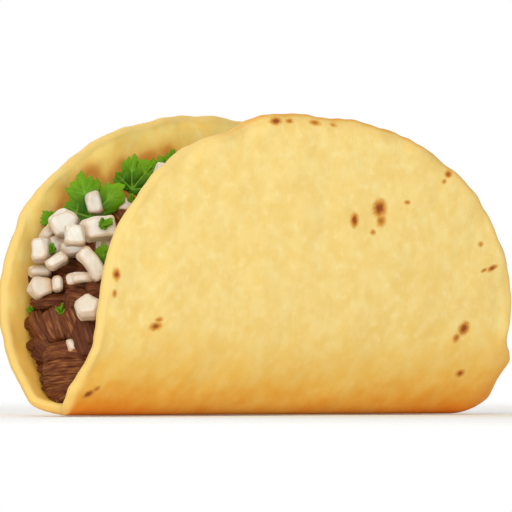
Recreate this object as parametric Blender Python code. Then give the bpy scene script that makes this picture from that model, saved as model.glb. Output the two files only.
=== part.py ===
"""Soft taco: a folded flour tortilla holding shredded meat, onion dice and cilantro leaves.

Metres, +Z up. X runs along the fold, which rests on the ground at z = 0; the two flaps
stand on either side of it, at -Y (front) and +Y (back).
"""

import itertools
import math
import random

import bmesh
import bpy
from mathutils import Euler, Matrix, Vector, noise
from mathutils.bvhtree import BVHTree

# Tortilla: a squarish oval flat bread, longer across the fold than along it. The higher a
# power, the flatter the rim runs before it turns in: across the fold more than along it.
BREAD_HALF_LENGTH = 0.075     # along the fold
BREAD_HALF_WIDTH = 0.088      # across it, up a flap
RIM_POWER_ALONG = 1.7
RIM_POWER_ACROSS = 4.2
RIM_HALVINGS = 40
BREAD_THICKNESS = 0.003
RIM_ROUNDING = 0.001
ROWS_ALONG = 30
ROWS_ACROSS = 26

# The fold: how steeply the bread stands (degrees) at a distance from the fold line.
FOLD_STEEPNESS = ((0.0047, 0), (0.009, 52), (0.018, 56), (0.032, 81), (0.050, 88.5))
FOLD_STEP = 0.00025

# The fold's two ends curl up off the ground, less and less up the flaps.
HEEL_START = 0.066
HEEL_LENGTH = 0.009
HEEL_LIFT = 0.0026
HEEL_REACH = 0.026

# Meat: how high it is filled at a distance from the middle of the fold.
MEAT_TOP = (
    (0, 0.0555), (0.033, 0.0545), (0.042, 0.0510), (0.049, 0.0455), (0.055, 0.0390), (0.060, 0.0345)
)
MEAT_HALF_LENGTH = 0.0635
MEAT_END_HEIGHT = 0.032
MEAT_FOOT_REACH = 0.0045      # how much further its ends reach at the bottom of the fold
MEAT_CROWN = 0.0025
MEAT_GAP = 0.0005
MEAT_SECTIONS = 27
MEAT_CROWDING = 1.3           # radians of a sine that draws the sections together at the ends
MEAT_WALL_POINTS = 23
MEAT_TOP_POINTS = 7
MEAT_LUMP = 0.0009
MEAT_LUMP_SIZE = 0.009

# Toppings are pushed into the open ends at this angle to the fold, or dropped in from above.
PUSH_ANGLE = math.radians(42)
CLEARANCE = 0.0003
SETTLE_STEP = 0.00025
SETTLE_REACH = 0.09
SETTLE_BACK = 0.012
NUDGE = 0.0005
NUDGES = tuple((i, j) for i in (0, 1, -1, 2, -2) for j in (0, 1, -1, 2, -2))
NUDGE_COST = 2
DROP_HEIGHT = 0.090
PUSH_START = -0.0085          # where along Y a piece starts its way in, inside the front flap
ONION_BEVEL = 0.0005
LEAF_THICKNESS = 0.0008
LEAF_POINTS = 30

# What lies at an open end, in the order it is pushed in. Places are seen squarely from
# where a piece is pushed in: millimetres across and up, then its turn in degrees. A leaf
# goes on with its half width and how far its tip leans back in degrees, an onion piece
# with its length, width and depth and, where it has them, five corners and a bend.
LEFT_END = (
    ("leaf_third", -21.8, 66.4, 16, 6.0, 4),
    ("leaf_second", -31.4, 63.4, -24, 8.0, 6),
    ("onion_peek", -26.6, 65.0, -28, 4.0, 5.0, 3.0),
    ("onion_shaded_top", -34.4, 56.6, -40, 6.6, 5.0, 4.0),
    ("onion_behind", -46.8, 52.0, -35, 6.0, 5.4, 3.6),
    ("leaf_big", -43.2, 57.8, 2, 9.0, 10),
    ("leaf_left", -54.0, 52.0, 48, 4.4, 12),
    ("onion_sliver", -55.4, 47.8, -34, 3.2, 7.0, 3.0),
    ("onion_shaded_low", -39.8, 45.0, 4, 4.6, 7.0, 3.4),
    ("onion_tall", -56.9, 43.6, 3, 4.8, 7.0, 4.0),
    ("onion_flat", -50.9, 44.6, 24, 6.0, 3.8, 3.6),
    ("onion_slab", -41.2, 49.4, 8, 9.4, 6.4, 3.4, 4, 0.5),
    ("onion_tucked", -47.4, 42.8, 8, 6.0, 3.8, 3.4),
    ("onion_low", -52.8, 41.2, 26, 6.4, 3.8, 3.4),
    ("onion_big", -51.4, 50.8, 12, 7.4, 7.2, 4.4, 5),
    ("onion_square", -47.6, 47.7, -4, 5.8, 6.0, 4.2),
    ("leaf_edge", -39.4, 41.0, 10, 4.0, 8),
    ("onion_strip", -46.6, 36.2, 10, 7.2, 3.4, 2.8, 4, 0.7),
    ("onion_curved", -43.4, 39.8, -56, 9.6, 4.0, 3.2, 4, 0.9),
    ("onion_wedge", -57.6, 38.4, -8, 5.6, 3.4, 3.4),
    ("onion_corner", -57.4, 33.8, 14, 6.6, 5.4, 4.2, 5),
    ("onion_small", -52.7, 34.8, 2, 2.9, 4.5, 2.6),
    ("onion_round", -44.6, 28.4, 18, 7.2, 7.2, 3.6, 5),
    ("onion_chip", -48.7, 18.7, 28, 2.4, 3.6, 1.6),
    ("onion_on_leaf", -43.0, 56.2, 6, 4.2, 6.2, 3.4),
)
RIGHT_END = (
    ("leaf_r1", 38.5, 57.5, -14, 7.2, 12),
    ("leaf_r2", 51.0, 48.5, 34, 5.0, 10),
    ("onion_r1", 53.5, 44.5, 12, 6.6, 5.4, 4.4, 5),
    ("onion_r2", 47.5, 47.0, -16, 5.8, 5.6, 4.4),
    ("onion_r3", 41.5, 50.5, -8, 8.2, 5.0, 3.6, 4, 0.6),
    ("onion_r4", 57.0, 38.6, 6, 5.0, 6.2, 3.8),
    ("onion_r5", 51.0, 39.0, 30, 7.4, 3.8, 3.4, 4, 0.8),
    ("onion_r6", 46.0, 40.6, -24, 4.8, 5.2, 4.2),
    ("onion_r7", 49.0, 53.0, 20, 5.6, 6.2, 4.0, 5),
    ("onion_r8", 54.5, 32.4, 40, 4.2, 5.4, 3.0),
    ("onion_r9", 46.5, 31.0, -14, 6.4, 6.0, 3.6, 5),
    ("onion_r10", 40.4, 43.6, 14, 5.4, 4.8, 4.0),
    ("onion_r11", 36.0, 49.0, -30, 6.2, 5.2, 4.0, 5),
    ("onion_r12", 42.6, 35.6, -44, 7.0, 3.6, 3.2, 4, 0.6),
)
# Onion dice scattered over the top, in columns along the fold and lines across it.
TOP_COLUMNS = (-0.029, -0.013, 0.003, 0.019, 0.035)
TOP_LINES = (-0.0095, 0.0, 0.0095)
TOP_JITTER = 0.0028
TOP_SIZES = ((6.8, 5.4, 4.2), (5.6, 5.4, 4.6), (8.4, 4.6, 3.6), (6.2, 5.8, 4.2))

# Leaves lying on top: along and across the fold, half width, turn and tilt in degrees.
TOP_LEAVES = (
    ("leaf_t1", -3, -6, 7.4, 30, 12),
    ("leaf_t2", 15, 4, 7.0, 160, -14),
    ("leaf_t3", -18, 5, 6.4, 250, 10),
    ("leaf_t4", 31, -3, 6.6, 95, 8),
)

MM = 0.001


def clear_scene():
    for thing in list(bpy.data.objects):
        bpy.data.objects.remove(thing, do_unlink=True)


def food_material(name, color, roughness):
    material = bpy.data.materials.new(name)
    material.use_nodes = True
    shader = material.node_tree.nodes["Principled BSDF"]
    shader.inputs["Base Color"].default_value = (*color, 1)
    shader.inputs["Roughness"].default_value = roughness
    shader.inputs["Metallic"].default_value = 0
    return material


def object_of(bm, name, material):
    """Turns a bmesh into an object of the scene, with its faces pointing out."""
    bmesh.ops.recalc_face_normals(bm, faces=bm.faces)
    if bm.calc_volume(signed=True) < 0:
        bmesh.ops.reverse_faces(bm, faces=bm.faces)
    mesh = bpy.data.meshes.new(name)
    bm.to_mesh(mesh)
    bm.free()
    mesh.materials.append(material)
    made = bpy.data.objects.new(name, mesh)
    bpy.context.scene.collection.objects.link(made)
    return made


def between(knots, at):
    """Reads a line through (place, value) knots, level beyond its two ends."""
    if at <= knots[0][0]:
        return knots[0][1]
    for (x0, y0), (x1, y1) in zip(knots, knots[1:]):
        if at <= x1:
            share = (at - x0) / (x1 - x0)
            return y0 + (y1 - y0) * share
    return knots[-1][1]


def fold_line():
    """Points (y, z, steepness) down the middle of the bread's thickness, a step apart."""
    y = 0.0
    z = BREAD_THICKNESS / 2
    points = []
    for i in range(int(0.1 / FOLD_STEP)):
        angle = math.radians(between(FOLD_STEEPNESS, (i + 0.5) * FOLD_STEP))
        points.append((y, z, angle))
        y += math.cos(angle) * FOLD_STEP
        z += math.sin(angle) * FOLD_STEP
    return points


FOLD_LINE = fold_line()


def folded(x, reach, inward):
    """Where a point of the flat bread comes to lie: reach is its distance from the fold
    line and inward its height over the middle of the thickness, towards the filling."""
    place = abs(reach) / FOLD_STEP
    index = min(int(place), len(FOLD_LINE) - 2)
    y0, z0, a0 = FOLD_LINE[index]
    y1, z1, a1 = FOLD_LINE[index + 1]
    share = place - index
    angle = a0 + (a1 - a0) * share
    y = y0 + (y1 - y0) * share - math.sin(angle) * inward
    z = z0 + (z1 - z0) * share + math.cos(angle) * inward
    past = max(0.0, (abs(x) - HEEL_START) / HEEL_LENGTH)
    low = max(0.0, 1 - (reach / HEEL_REACH) ** 2)
    return Vector((x, math.copysign(y, reach), z + HEEL_LIFT * past * past * low))


def rim_radius(angle):
    """How far the rim lies from the bread's middle: where the two powers add up to 1."""
    along = abs(math.cos(angle)) / BREAD_HALF_LENGTH
    across = abs(math.sin(angle)) / BREAD_HALF_WIDTH
    inner = 0.0
    outer = BREAD_HALF_LENGTH + BREAD_HALF_WIDTH
    for _ in range(RIM_HALVINGS):
        radius = (inner + outer) / 2
        if (radius * along) ** RIM_POWER_ALONG + (radius * across) ** RIM_POWER_ACROSS < 1:
            inner = radius
        else:
            outer = radius
    return inner


def on_bread(u, v):
    """Carries a square of -1 to 1 onto the oval bread, its rows closest at the fold."""
    v *= 0.33 + 0.67 * v * v
    across = u * math.sqrt(1 - v * v / 2)
    reach = v * math.sqrt(1 - u * u / 2)
    radius = rim_radius(math.atan2(reach, across))
    return across * radius, reach * radius


def make_tortilla():
    bm = bmesh.new()
    bmesh.ops.create_grid(bm, x_segments=ROWS_ALONG, y_segments=ROWS_ACROSS, size=1)
    for vert in bm.verts:
        x, reach = on_bread(vert.co.x, vert.co.y)
        vert.co = (x, reach, BREAD_THICKNESS / 2)
    lower = bmesh.ops.extrude_face_region(bm, geom=list(bm.faces))
    verts = [item for item in lower["geom"] if isinstance(item, bmesh.types.BMVert)]
    bmesh.ops.translate(bm, verts=verts, vec=(0, 0, -BREAD_THICKNESS))
    bmesh.ops.recalc_face_normals(bm, faces=bm.faces)
    rim = [edge for edge in bm.edges if edge.calc_face_angle(0) > math.radians(45)]
    bmesh.ops.bevel(bm, geom=rim, offset=RIM_ROUNDING, segments=1, affect="EDGES", profile=0.5)
    for vert in bm.verts:
        vert.co = folded(*vert.co)
    return object_of(bm, "tortilla", food_material("tortilla", (0.87, 0.67, 0.25), 0.65))


def meat_lump(point):
    return MEAT_LUMP * noise.noise(point / MEAT_LUMP_SIZE)


def meat_section(x):
    """One closed cross-section: down one flap, through the fold, up the other and back."""
    top = between(MEAT_TOP, abs(x)) if abs(x) < MEAT_HALF_LENGTH else MEAT_END_HEIGHT
    inward = BREAD_THICKNESS / 2 + MEAT_GAP
    wall = 0.0
    while folded(x, wall, inward).z < top:
        wall += FOLD_STEP
    points = []
    for i in range(MEAT_WALL_POINTS):
        across = 2 * i / (MEAT_WALL_POINTS - 1) - 1
        points.append(folded(x, wall * across, inward))
    side = points[-1].y
    for i in range(1, MEAT_TOP_POINTS + 1):
        across = 1 - 2 * i / (MEAT_TOP_POINTS + 1)
        height = top + MEAT_CROWN * (1 - across * across)
        points.append(Vector((x, side * across, height)))
    for i, point in enumerate(points):
        lowness = max(0.0, 1 - point.z / MEAT_END_HEIGHT)
        end = (abs(x) / MEAT_HALF_LENGTH) ** 6
        point.x += math.copysign(MEAT_FOOT_REACH * lowness * end, x)
        if i >= MEAT_WALL_POINTS:
            point.z += meat_lump(point)
    return points


def meat_end(points, outward):
    """Rings that close a cross-section with a low bulge; the last is its middle point."""
    middle = sum(points, Vector()) / len(points)
    rings = []
    for share, bulge in ((0.82, 0.0012), (0.5, 0.0018)):
        ring = []
        for point in points:
            inner = middle.lerp(point, share)
            inner.x = point.x * share + middle.x * (1 - share)
            inner.x += outward * (bulge + meat_lump(inner * 1.7))
            ring.append(inner)
        rings.append(ring)
    rings.append([middle + Vector((outward * 0.002, 0, 0))])
    return rings


def make_meat():
    bm = bmesh.new()
    rings = []
    for i in range(MEAT_SECTIONS):
        along = 2 * i / (MEAT_SECTIONS - 1) - 1
        spread = math.sin(along * MEAT_CROWDING) / math.sin(MEAT_CROWDING)
        rings.append(meat_section(MEAT_HALF_LENGTH * spread))
    rings = meat_end(rings[0], -1)[::-1] + rings + meat_end(rings[-1], 1)
    rows = [[bm.verts.new(point) for point in ring] for ring in rings]
    for row, after in zip(rows, rows[1:]):
        count = max(len(row), len(after))
        for i in range(count):
            j = (i + 1) % count
            near = [row[i % len(row)], row[j % len(row)]]
            far = [after[j % len(after)], after[i % len(after)]]
            bm.faces.new(list(dict.fromkeys(near + far)))
    return object_of(bm, "meat", food_material("meat", (0.17, 0.06, 0.025), 0.55))


def onion_piece(name, size, material, dice, corners=4, bend=0.0):
    """An uneven slab of onion in its own axes: length X, depth Y, width Z, in millimetres.
    It has 4 or 5 corners, and bend is how far its ends curl."""
    length, width, depth = (value * MM for value in size)
    taper = dice.uniform(0.84, 0.98)
    slope = dice.uniform(-0.12, 0.12)
    outline = []
    for i in range(corners):
        angle = 2 * math.pi * (i + 0.5) / corners
        radius = dice.uniform(0.92, 1.08) * (0.71 if corners == 4 else 0.58)
        outline.append((radius * length * math.cos(angle), radius * width * math.sin(angle)))
    bm = bmesh.new()
    front = bm.faces.new([bm.verts.new((x * taper, slope * x, z * taper)) for x, z in outline])
    bm.normal_update()
    extruded = bmesh.ops.extrude_face_region(bm, geom=[front])
    back = [item for item in extruded["geom"] if isinstance(item, bmesh.types.BMVert)]
    for vert in back:
        vert.co = (vert.co.x / taper, depth - slope * vert.co.x, vert.co.z / taper)
    bmesh.ops.translate(bm, verts=bm.verts, vec=(0, -depth / 2, 0))
    bmesh.ops.recalc_face_normals(bm, faces=bm.faces)
    if bend:
        along = [e for e in bm.edges if abs(e.verts[0].co.x - e.verts[1].co.x) > length / 2]
        bmesh.ops.subdivide_edges(bm, edges=along, cuts=2, use_grid_fill=True)
    sharp = [e for e in bm.edges if e.calc_face_angle(0) > math.radians(30)]
    bmesh.ops.bevel(bm, geom=sharp, offset=ONION_BEVEL, segments=1, affect="EDGES", profile=0.5)
    for vert in bm.verts:
        vert.co.z -= bend * MM * ((2 * vert.co.x / length) ** 2 - 0.3)
    bmesh.ops.triangulate(bm, faces=bm.faces)
    return object_of(bm, name, material)


def leaf_radius(angle):
    """Rim of a leaf round its middle, 1 at the tip: lobes at 0 and 75 degrees, with teeth."""
    lobes = 0.66 + 0.34 * math.cos(2.4 * angle) ** 2
    teeth = 1 + 0.07 * math.cos(12 * angle)
    stem_side = 0.62 + 0.38 * math.cos(angle / 2) ** 2
    return lobes * teeth * stem_side


def leaf_piece(name, half_width, material, dice):
    """A thin cupped leaf in its own axes: its face looks along -Y and its tip points up."""
    bm = bmesh.new()
    cup = dice.uniform(0.10, 0.16) / (half_width * MM)
    front = []
    back = []
    for side, row in ((-0.5, front), (0.5, back)):
        for i in range(LEAF_POINTS):
            angle = 2 * math.pi * i / LEAF_POINTS
            radius = half_width * MM * leaf_radius(math.remainder(angle, 2 * math.pi))
            x = radius * math.sin(angle)
            z = radius * math.cos(angle)
            y = -cup * x * x + side * LEAF_THICKNESS
            row.append(bm.verts.new((x, y, z)))
        row.append(bm.verts.new((0, side * LEAF_THICKNESS, 0)))
    for i in range(LEAF_POINTS):
        j = (i + 1) % LEAF_POINTS
        bm.faces.new((front[i], front[j], front[-1]))
        bm.faces.new((back[j], back[i], back[-1]))
        bm.faces.new((front[j], front[i], back[i], back[j]))
    return object_of(bm, name, material)


def tree_of(piece, grown=0.0):
    """The piece's faces where it lies, each point moved out by grown."""
    bm = bmesh.new()
    bm.from_mesh(piece.data)
    bm.normal_update()
    if grown:
        for vert in bm.verts:
            vert.co += vert.normal * grown * 1.3
    bm.transform(piece.matrix_basis)
    tree = BVHTree.FromBMesh(bm)
    bm.free()
    return tree


def settle(piece, turn, start, direction, laid):
    """Moves a piece in from start until it all but touches what is laid, nudging it
    sideways a little where that lets it in deeper."""
    aside = direction.orthogonal().normalized()
    above = direction.cross(aside)

    def move_to(place):
        piece.matrix_basis = Matrix.Translation(place) @ turn.to_4x4()

    def touches(place):
        move_to(place)
        tree = tree_of(piece, CLEARANCE)
        return any(tree.overlap(other) for other in laid)

    best_score = None
    for i, j in NUDGES:
        origin = start + (aside * i + above * j) * NUDGE
        at = 0.0
        while at > -SETTLE_BACK and touches(origin + direction * at):
            at -= SETTLE_STEP
        while at < SETTLE_REACH and not touches(origin + direction * (at + SETTLE_STEP)):
            at += SETTLE_STEP
        score = at - NUDGE_COST * NUDGE * math.hypot(i, j)
        if at > -SETTLE_BACK and (best_score is None or score > best_score):
            best_score = score
            place = origin + direction * at
    move_to(place)
    laid.append(tree_of(piece))


def end_frame(side):
    """The push direction, the direction across it and the turn to them, for side -1 or 1."""
    push = Vector((-side * math.sin(PUSH_ANGLE), math.cos(PUSH_ANGLE), 0))
    across = Vector((math.cos(PUSH_ANGLE), side * math.sin(PUSH_ANGLE), 0))
    return push, across, Matrix.Rotation(side * PUSH_ANGLE, 3, "Z")


def push_in(piece, side, across_mm, up_mm, local_turn, laid):
    """Pushes a piece into the left (-1) or right (1) end from just inside the front flap."""
    push, across, turn = end_frame(side)
    start = across * across_mm * MM
    start += push * ((PUSH_START - start.y) / push.y)
    start.z = up_mm * MM
    settle(piece, turn @ local_turn, start, push, laid)


def drop_in(piece, x, y, local_turn, laid):
    settle(piece, local_turn, Vector((x, y, DROP_HEIGHT)), Vector((0, 0, -1)), laid)


def degrees(x, y, z):
    return Euler((math.radians(x), math.radians(y), math.radians(z))).to_matrix()


def lay_toppings(laid):
    onion = food_material("onion", (0.86, 0.80, 0.68), 0.35)
    leaf = food_material("leaf", (0.14, 0.32, 0.02), 0.45)
    dice = random.Random(7)

    for number, (x, y) in enumerate(itertools.product(TOP_COLUMNS, TOP_LINES)):
        size = TOP_SIZES[number % len(TOP_SIZES)]
        piece = onion_piece(f"onion_top_{number + 1:02}", size, onion, dice, 4 + number % 2)
        local = degrees(90 + dice.uniform(-18, 18), dice.uniform(-18, 18), dice.uniform(0, 180))
        x += dice.uniform(-TOP_JITTER, TOP_JITTER)
        y += dice.uniform(-TOP_JITTER, TOP_JITTER)
        drop_in(piece, x, y, local, laid)
    for name, x, y, half_width, turn, tilt in TOP_LEAVES:
        piece = leaf_piece(name, half_width, leaf, dice)
        drop_in(piece, x * MM, y * MM, degrees(-80 + tilt, tilt, turn), laid)
    for side, pieces in ((-1, LEFT_END), (1, RIGHT_END)):
        for name, across, up, turn, *shape in pieces:
            if name.startswith("leaf"):
                half_width, lean = shape
                piece = leaf_piece(name, half_width, leaf, dice)
                local = degrees(-lean, -turn, 0)
            else:
                piece = onion_piece(name, shape[:3], onion, dice, *shape[3:])
                local = degrees(dice.uniform(-20, 4), -turn, dice.uniform(-14, 14))
            push_in(piece, side, across, up, local, laid)


def main():
    clear_scene()
    tortilla = make_tortilla()
    meat = make_meat()
    lay_toppings([tree_of(tortilla), tree_of(meat)])


main()
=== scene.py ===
import math
import random

import bpy
import numpy as np
from mathutils import Euler, Matrix, Vector, noise
from mathutils.bvhtree import BVHTree


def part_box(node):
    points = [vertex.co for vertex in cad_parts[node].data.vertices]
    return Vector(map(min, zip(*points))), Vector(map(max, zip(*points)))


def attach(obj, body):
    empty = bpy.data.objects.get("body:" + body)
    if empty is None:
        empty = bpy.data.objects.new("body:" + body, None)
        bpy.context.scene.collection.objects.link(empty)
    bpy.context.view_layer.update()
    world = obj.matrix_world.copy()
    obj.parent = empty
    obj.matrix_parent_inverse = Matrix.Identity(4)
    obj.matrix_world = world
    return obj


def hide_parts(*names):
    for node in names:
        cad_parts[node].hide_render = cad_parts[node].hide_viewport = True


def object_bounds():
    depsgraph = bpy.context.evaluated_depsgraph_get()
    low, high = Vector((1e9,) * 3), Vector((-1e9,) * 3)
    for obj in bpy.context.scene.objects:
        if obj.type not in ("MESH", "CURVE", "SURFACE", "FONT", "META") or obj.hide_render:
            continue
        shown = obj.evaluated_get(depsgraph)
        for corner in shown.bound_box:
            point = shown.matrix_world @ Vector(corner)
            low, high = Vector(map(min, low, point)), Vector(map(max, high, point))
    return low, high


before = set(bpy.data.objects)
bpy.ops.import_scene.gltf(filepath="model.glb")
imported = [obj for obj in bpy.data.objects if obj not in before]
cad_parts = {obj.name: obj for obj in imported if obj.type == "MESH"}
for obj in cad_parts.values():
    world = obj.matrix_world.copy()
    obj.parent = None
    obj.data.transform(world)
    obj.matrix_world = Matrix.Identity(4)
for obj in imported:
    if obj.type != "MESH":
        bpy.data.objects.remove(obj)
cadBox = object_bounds()
print("frame loaded:", len(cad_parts), "nodes")


# shared by every piece

mm = 0.001
bodyName = "root"
scene = bpy.context.scene


def selectNone():
    for thing in bpy.context.selected_objects:
        thing.select_set(False)


def makeActive(piece):
    bpy.context.view_layer.update()
    selectNone()
    piece.select_set(True)
    bpy.context.view_layer.objects.active = piece


def applyModifier(piece, kind, **settings):
    makeActive(piece)
    modifier = piece.modifiers.new(kind.title(), kind)
    for name, value in settings.items():
        setattr(modifier, name, value)
    bpy.ops.object.modifier_apply(modifier=modifier.name)


def finishPiece(piece, slotName, *nodes):
    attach(piece, bodyName)
    if nodes:
        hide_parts(*nodes)


def pointsOf(piece):
    places = np.empty(len(piece.data.vertices) * 3, np.float32)
    piece.data.vertices.foreach_get("co", places)
    return places.reshape(-1, 3).astype(float)


def normalsOf(piece):
    normals = np.empty(len(piece.data.vertices) * 3, np.float32)
    piece.data.vertices.foreach_get("normal", normals)
    return normals.reshape(-1, 3)


def setPoints(piece, places):
    piece.data.vertices.foreach_set("co", np.ascontiguousarray(places, np.float32).ravel())
    piece.data.update()


def setAttribute(piece, name, values):
    attribute = piece.data.attributes.new(name, "FLOAT", "POINT")
    attribute.data.foreach_set("value", np.ascontiguousarray(values, np.float32))


def setVectors(piece, name, values):
    attribute = piece.data.attributes.new(name, "FLOAT_VECTOR", "POINT")
    attribute.data.foreach_set("vector", np.ascontiguousarray(values, np.float32).ravel())


def copyOf(original, name):
    piece = bpy.data.objects.new(name, original.data.copy())
    scene.collection.objects.link(piece)
    return piece


def editAll(operator, **settings):
    # runs one edit mode operator on all of the active piece
    bpy.ops.object.mode_set(mode="EDIT")
    bpy.ops.mesh.select_all(action="SELECT")
    operator(**settings)
    bpy.ops.object.mode_set(mode="OBJECT")


def smooth(low, high, value):
    share = np.clip((value - low) / (high - low), 0, 1)
    return share * share * (3 - 2 * share)


def colorOf(red, green, blue):
    # 0 to 255 as a screen shows it, to the linear value that shaders take
    def linear(value):
        value /= 255
        return value / 12.92 if value <= 0.04045 else ((value + 0.055) / 1.055) ** 2.4
    return (linear(red), linear(green), linear(blue), 1)


# the camera, the lights and the floor

cameraPlan = {"turn": -42, "lens": 1600, "sensor": 36, "distance": 6.043, "aimHeight": 0.0421}
lightPlan = {
    "sky": 0.52,
    "distance": 1.1,
    # name: turn, rise, power, size
    "lights": {
        "keyLight": (-62, 36, 5.3, 0.9),
        "fillLight": (15, 14, 1.0, 1.2),
        "lowLight": (-42, 2, 3.95, 0.7),
        "backLight": (160, 45, 3.5, 0.9),
    },
}
floorPlan = {"radius": 0.9, "fadeFrom": 0.20, "fadeTo": 0.62}


def lookAt(thing, aim):
    thing.rotation_euler = (aim - thing.location).to_track_quat("-Z", "Y").to_euler()


def fromTurn(turn, rise, distance):
    turn, rise = math.radians(turn), math.radians(rise)
    flat = distance * math.cos(rise)
    return Vector((flat * math.sin(turn), -flat * math.cos(turn), distance * math.sin(rise)))


def makeCamera():
    aim = Vector((0, 0, cameraPlan["aimHeight"]))
    bpy.ops.object.camera_add()
    camera = bpy.context.object
    camera.name = "viewCamera"
    camera.data.lens = cameraPlan["lens"]
    camera.data.sensor_width = cameraPlan["sensor"]
    camera.data.clip_end = 100
    camera.location = aim + fromTurn(cameraPlan["turn"], 0, cameraPlan["distance"])
    lookAt(camera, aim)
    scene.camera = camera


def makeLight(name, turn, rise, power, size):
    bpy.ops.object.light_add(type="AREA", location=fromTurn(turn, rise, lightPlan["distance"]))
    light = bpy.context.object
    light.name = name
    light.data.shape = "DISK"
    light.data.size = size
    light.data.energy = power
    lookAt(light, Vector((0, 0, cameraPlan["aimHeight"])))


def makeWorld():
    world = bpy.data.worlds.new("paleRoom")
    scene.world = world
    world.use_nodes = True
    nodes, links = world.node_tree.nodes, world.node_tree.links
    nodes.clear()
    output = nodes.new("ShaderNodeOutputWorld")
    choose = nodes.new("ShaderNodeMixShader")
    seen = nodes.new("ShaderNodeBackground")
    seen.inputs["Color"].default_value = (1, 1, 1, 1)
    lit = nodes.new("ShaderNodeBackground")
    lit.inputs["Color"].default_value = (1, 0.985, 0.96, 1)
    lit.inputs["Strength"].default_value = lightPlan["sky"]
    path = nodes.new("ShaderNodeLightPath")
    links.new(path.outputs["Is Camera Ray"], choose.inputs["Fac"])
    links.new(lit.outputs["Background"], choose.inputs[1])
    links.new(seen.outputs["Background"], choose.inputs[2])
    links.new(choose.outputs["Shader"], output.inputs["Surface"])


def makeFloor():
    bpy.ops.mesh.primitive_circle_add(
        vertices=96, radius=floorPlan["radius"], fill_type="TRIFAN", location=(0, 0, -0.0002)
    )
    floor = bpy.context.object
    floor.name = "paleFloor"
    bpy.ops.object.transform_apply(location=True, rotation=True, scale=True)
    material = bpy.data.materials.new("paleFloor")
    material.use_nodes = True
    nodes, links = material.node_tree.nodes, material.node_tree.links
    shader = nodes["Principled BSDF"]
    shader.inputs["Base Color"].default_value = (0.92, 0.915, 0.90, 1)
    shader.inputs["Roughness"].default_value = 0.8
    shader.inputs["Specular IOR Level"].default_value = 0.2
    place = nodes.new("ShaderNodeTexCoord")
    away = nodes.new("ShaderNodeVectorMath")
    away.operation = "LENGTH"
    fade = nodes.new("ShaderNodeMapRange")
    fade.interpolation_type = "SMOOTHSTEP"
    fade.inputs["From Min"].default_value = floorPlan["fadeFrom"]
    fade.inputs["From Max"].default_value = floorPlan["fadeTo"]
    fade.inputs["To Min"].default_value = 1
    fade.inputs["To Max"].default_value = 0
    links.new(place.outputs["Object"], away.inputs[0])
    links.new(away.outputs["Value"], fade.inputs["Value"])
    links.new(fade.outputs["Result"], shader.inputs["Alpha"])
    floor.data.materials.append(material)


scene.view_settings.view_transform = "Standard"
makeCamera()
makeWorld()
for lightName, plan in lightPlan["lights"].items():
    makeLight(lightName, *plan)
makeFloor()
print("camera, lights and floor made")


# nodes and node groups that several foods share

def groupNode(tree, group):
    node = tree.nodes.new("ShaderNodeGroup")
    node.node_tree = group
    return node


def newGroup(name, inputs, outputs):
    group = bpy.data.node_groups.new(name, "ShaderNodeTree")
    kinds = {"f": "NodeSocketFloat", "v": "NodeSocketVector"}
    for socketName, kind, value in inputs:
        socket = group.interface.new_socket(socketName, in_out="INPUT", socket_type=kinds[kind])
        if value is not None:
            socket.default_value = value
    for socketName, kind in outputs:
        group.interface.new_socket(socketName, in_out="OUTPUT", socket_type=kinds[kind])
    return group, group.nodes.new("NodeGroupInput"), group.nodes.new("NodeGroupOutput")


def math2(tree, operation, first, second):
    node = tree.nodes.new("ShaderNodeMath")
    node.operation = operation
    for socket, value in zip(node.inputs, (first, second)):
        if isinstance(value, (int, float)):
            socket.default_value = value
        else:
            tree.links.new(value, socket)
    return node.outputs[0]


def mapRange(tree, value, fromLow, fromHigh, toLow=0.0, toHigh=1.0, smoothly=True):
    node = tree.nodes.new("ShaderNodeMapRange")
    node.interpolation_type = "SMOOTHSTEP" if smoothly else "LINEAR"
    tree.links.new(value, node.inputs["Value"])
    node.inputs["From Min"].default_value = fromLow
    node.inputs["From Max"].default_value = fromHigh
    node.inputs["To Min"].default_value = toLow
    node.inputs["To Max"].default_value = toHigh
    return node.outputs["Result"]


def noiseOf(tree, vector, scale, detail, roughness):
    node = tree.nodes.new("ShaderNodeTexNoise")
    node.inputs["Scale"].default_value = scale
    node.inputs["Detail"].default_value = detail
    node.inputs["Roughness"].default_value = roughness
    tree.links.new(vector, node.inputs["Vector"])
    return node.outputs["Fac"]


def mixColor(tree, share, first, second):
    node = tree.nodes.new("ShaderNodeMix")
    node.data_type = "RGBA"
    sockets = (node.inputs[0], node.inputs[6], node.inputs[7])
    for socket, value in zip(sockets, (share, first, second)):
        if isinstance(value, tuple):
            socket.default_value = value
        else:
            tree.links.new(value, socket)
    return node.outputs[2]


def tint(tree, base, color, value, *span):
    # lays a screen colour over the base as the value crosses the span, which mapRange reads
    return mixColor(tree, mapRange(tree, value, *span), base, colorOf(*color))


def sumOf(tree, first, second, share):
    # the first value and a share of the second
    return math2(tree, "ADD", first, math2(tree, "MULTIPLY", second, share))


def productOf(tree, first, *others):
    for other in others:
        first = math2(tree, "MULTIPLY", first, other)
    return first


def uneven(tree, value, mottle, amount):
    # the mottle carries the value up or down by as much as half the amount
    return sumOf(tree, value, math2(tree, "SUBTRACT", mottle, 0.5), amount)


def attributeOf(tree, name, kind="Fac"):
    node = tree.nodes.new("ShaderNodeAttribute")
    node.attribute_name = name
    return node.outputs[kind]


def dressShader(tree, shader, color, specular, height, strength, distance):
    # colour, gloss and a fine relief
    bump = tree.nodes.new("ShaderNodeBump")
    bump.inputs["Strength"].default_value = strength
    bump.inputs["Distance"].default_value = distance
    tree.links.new(height, bump.inputs["Height"])
    tree.links.new(bump.outputs["Normal"], shader.inputs["Normal"])
    tree.links.new(color, shader.inputs["Base Color"])
    shader.inputs["Specular IOR Level"].default_value = specular


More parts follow.
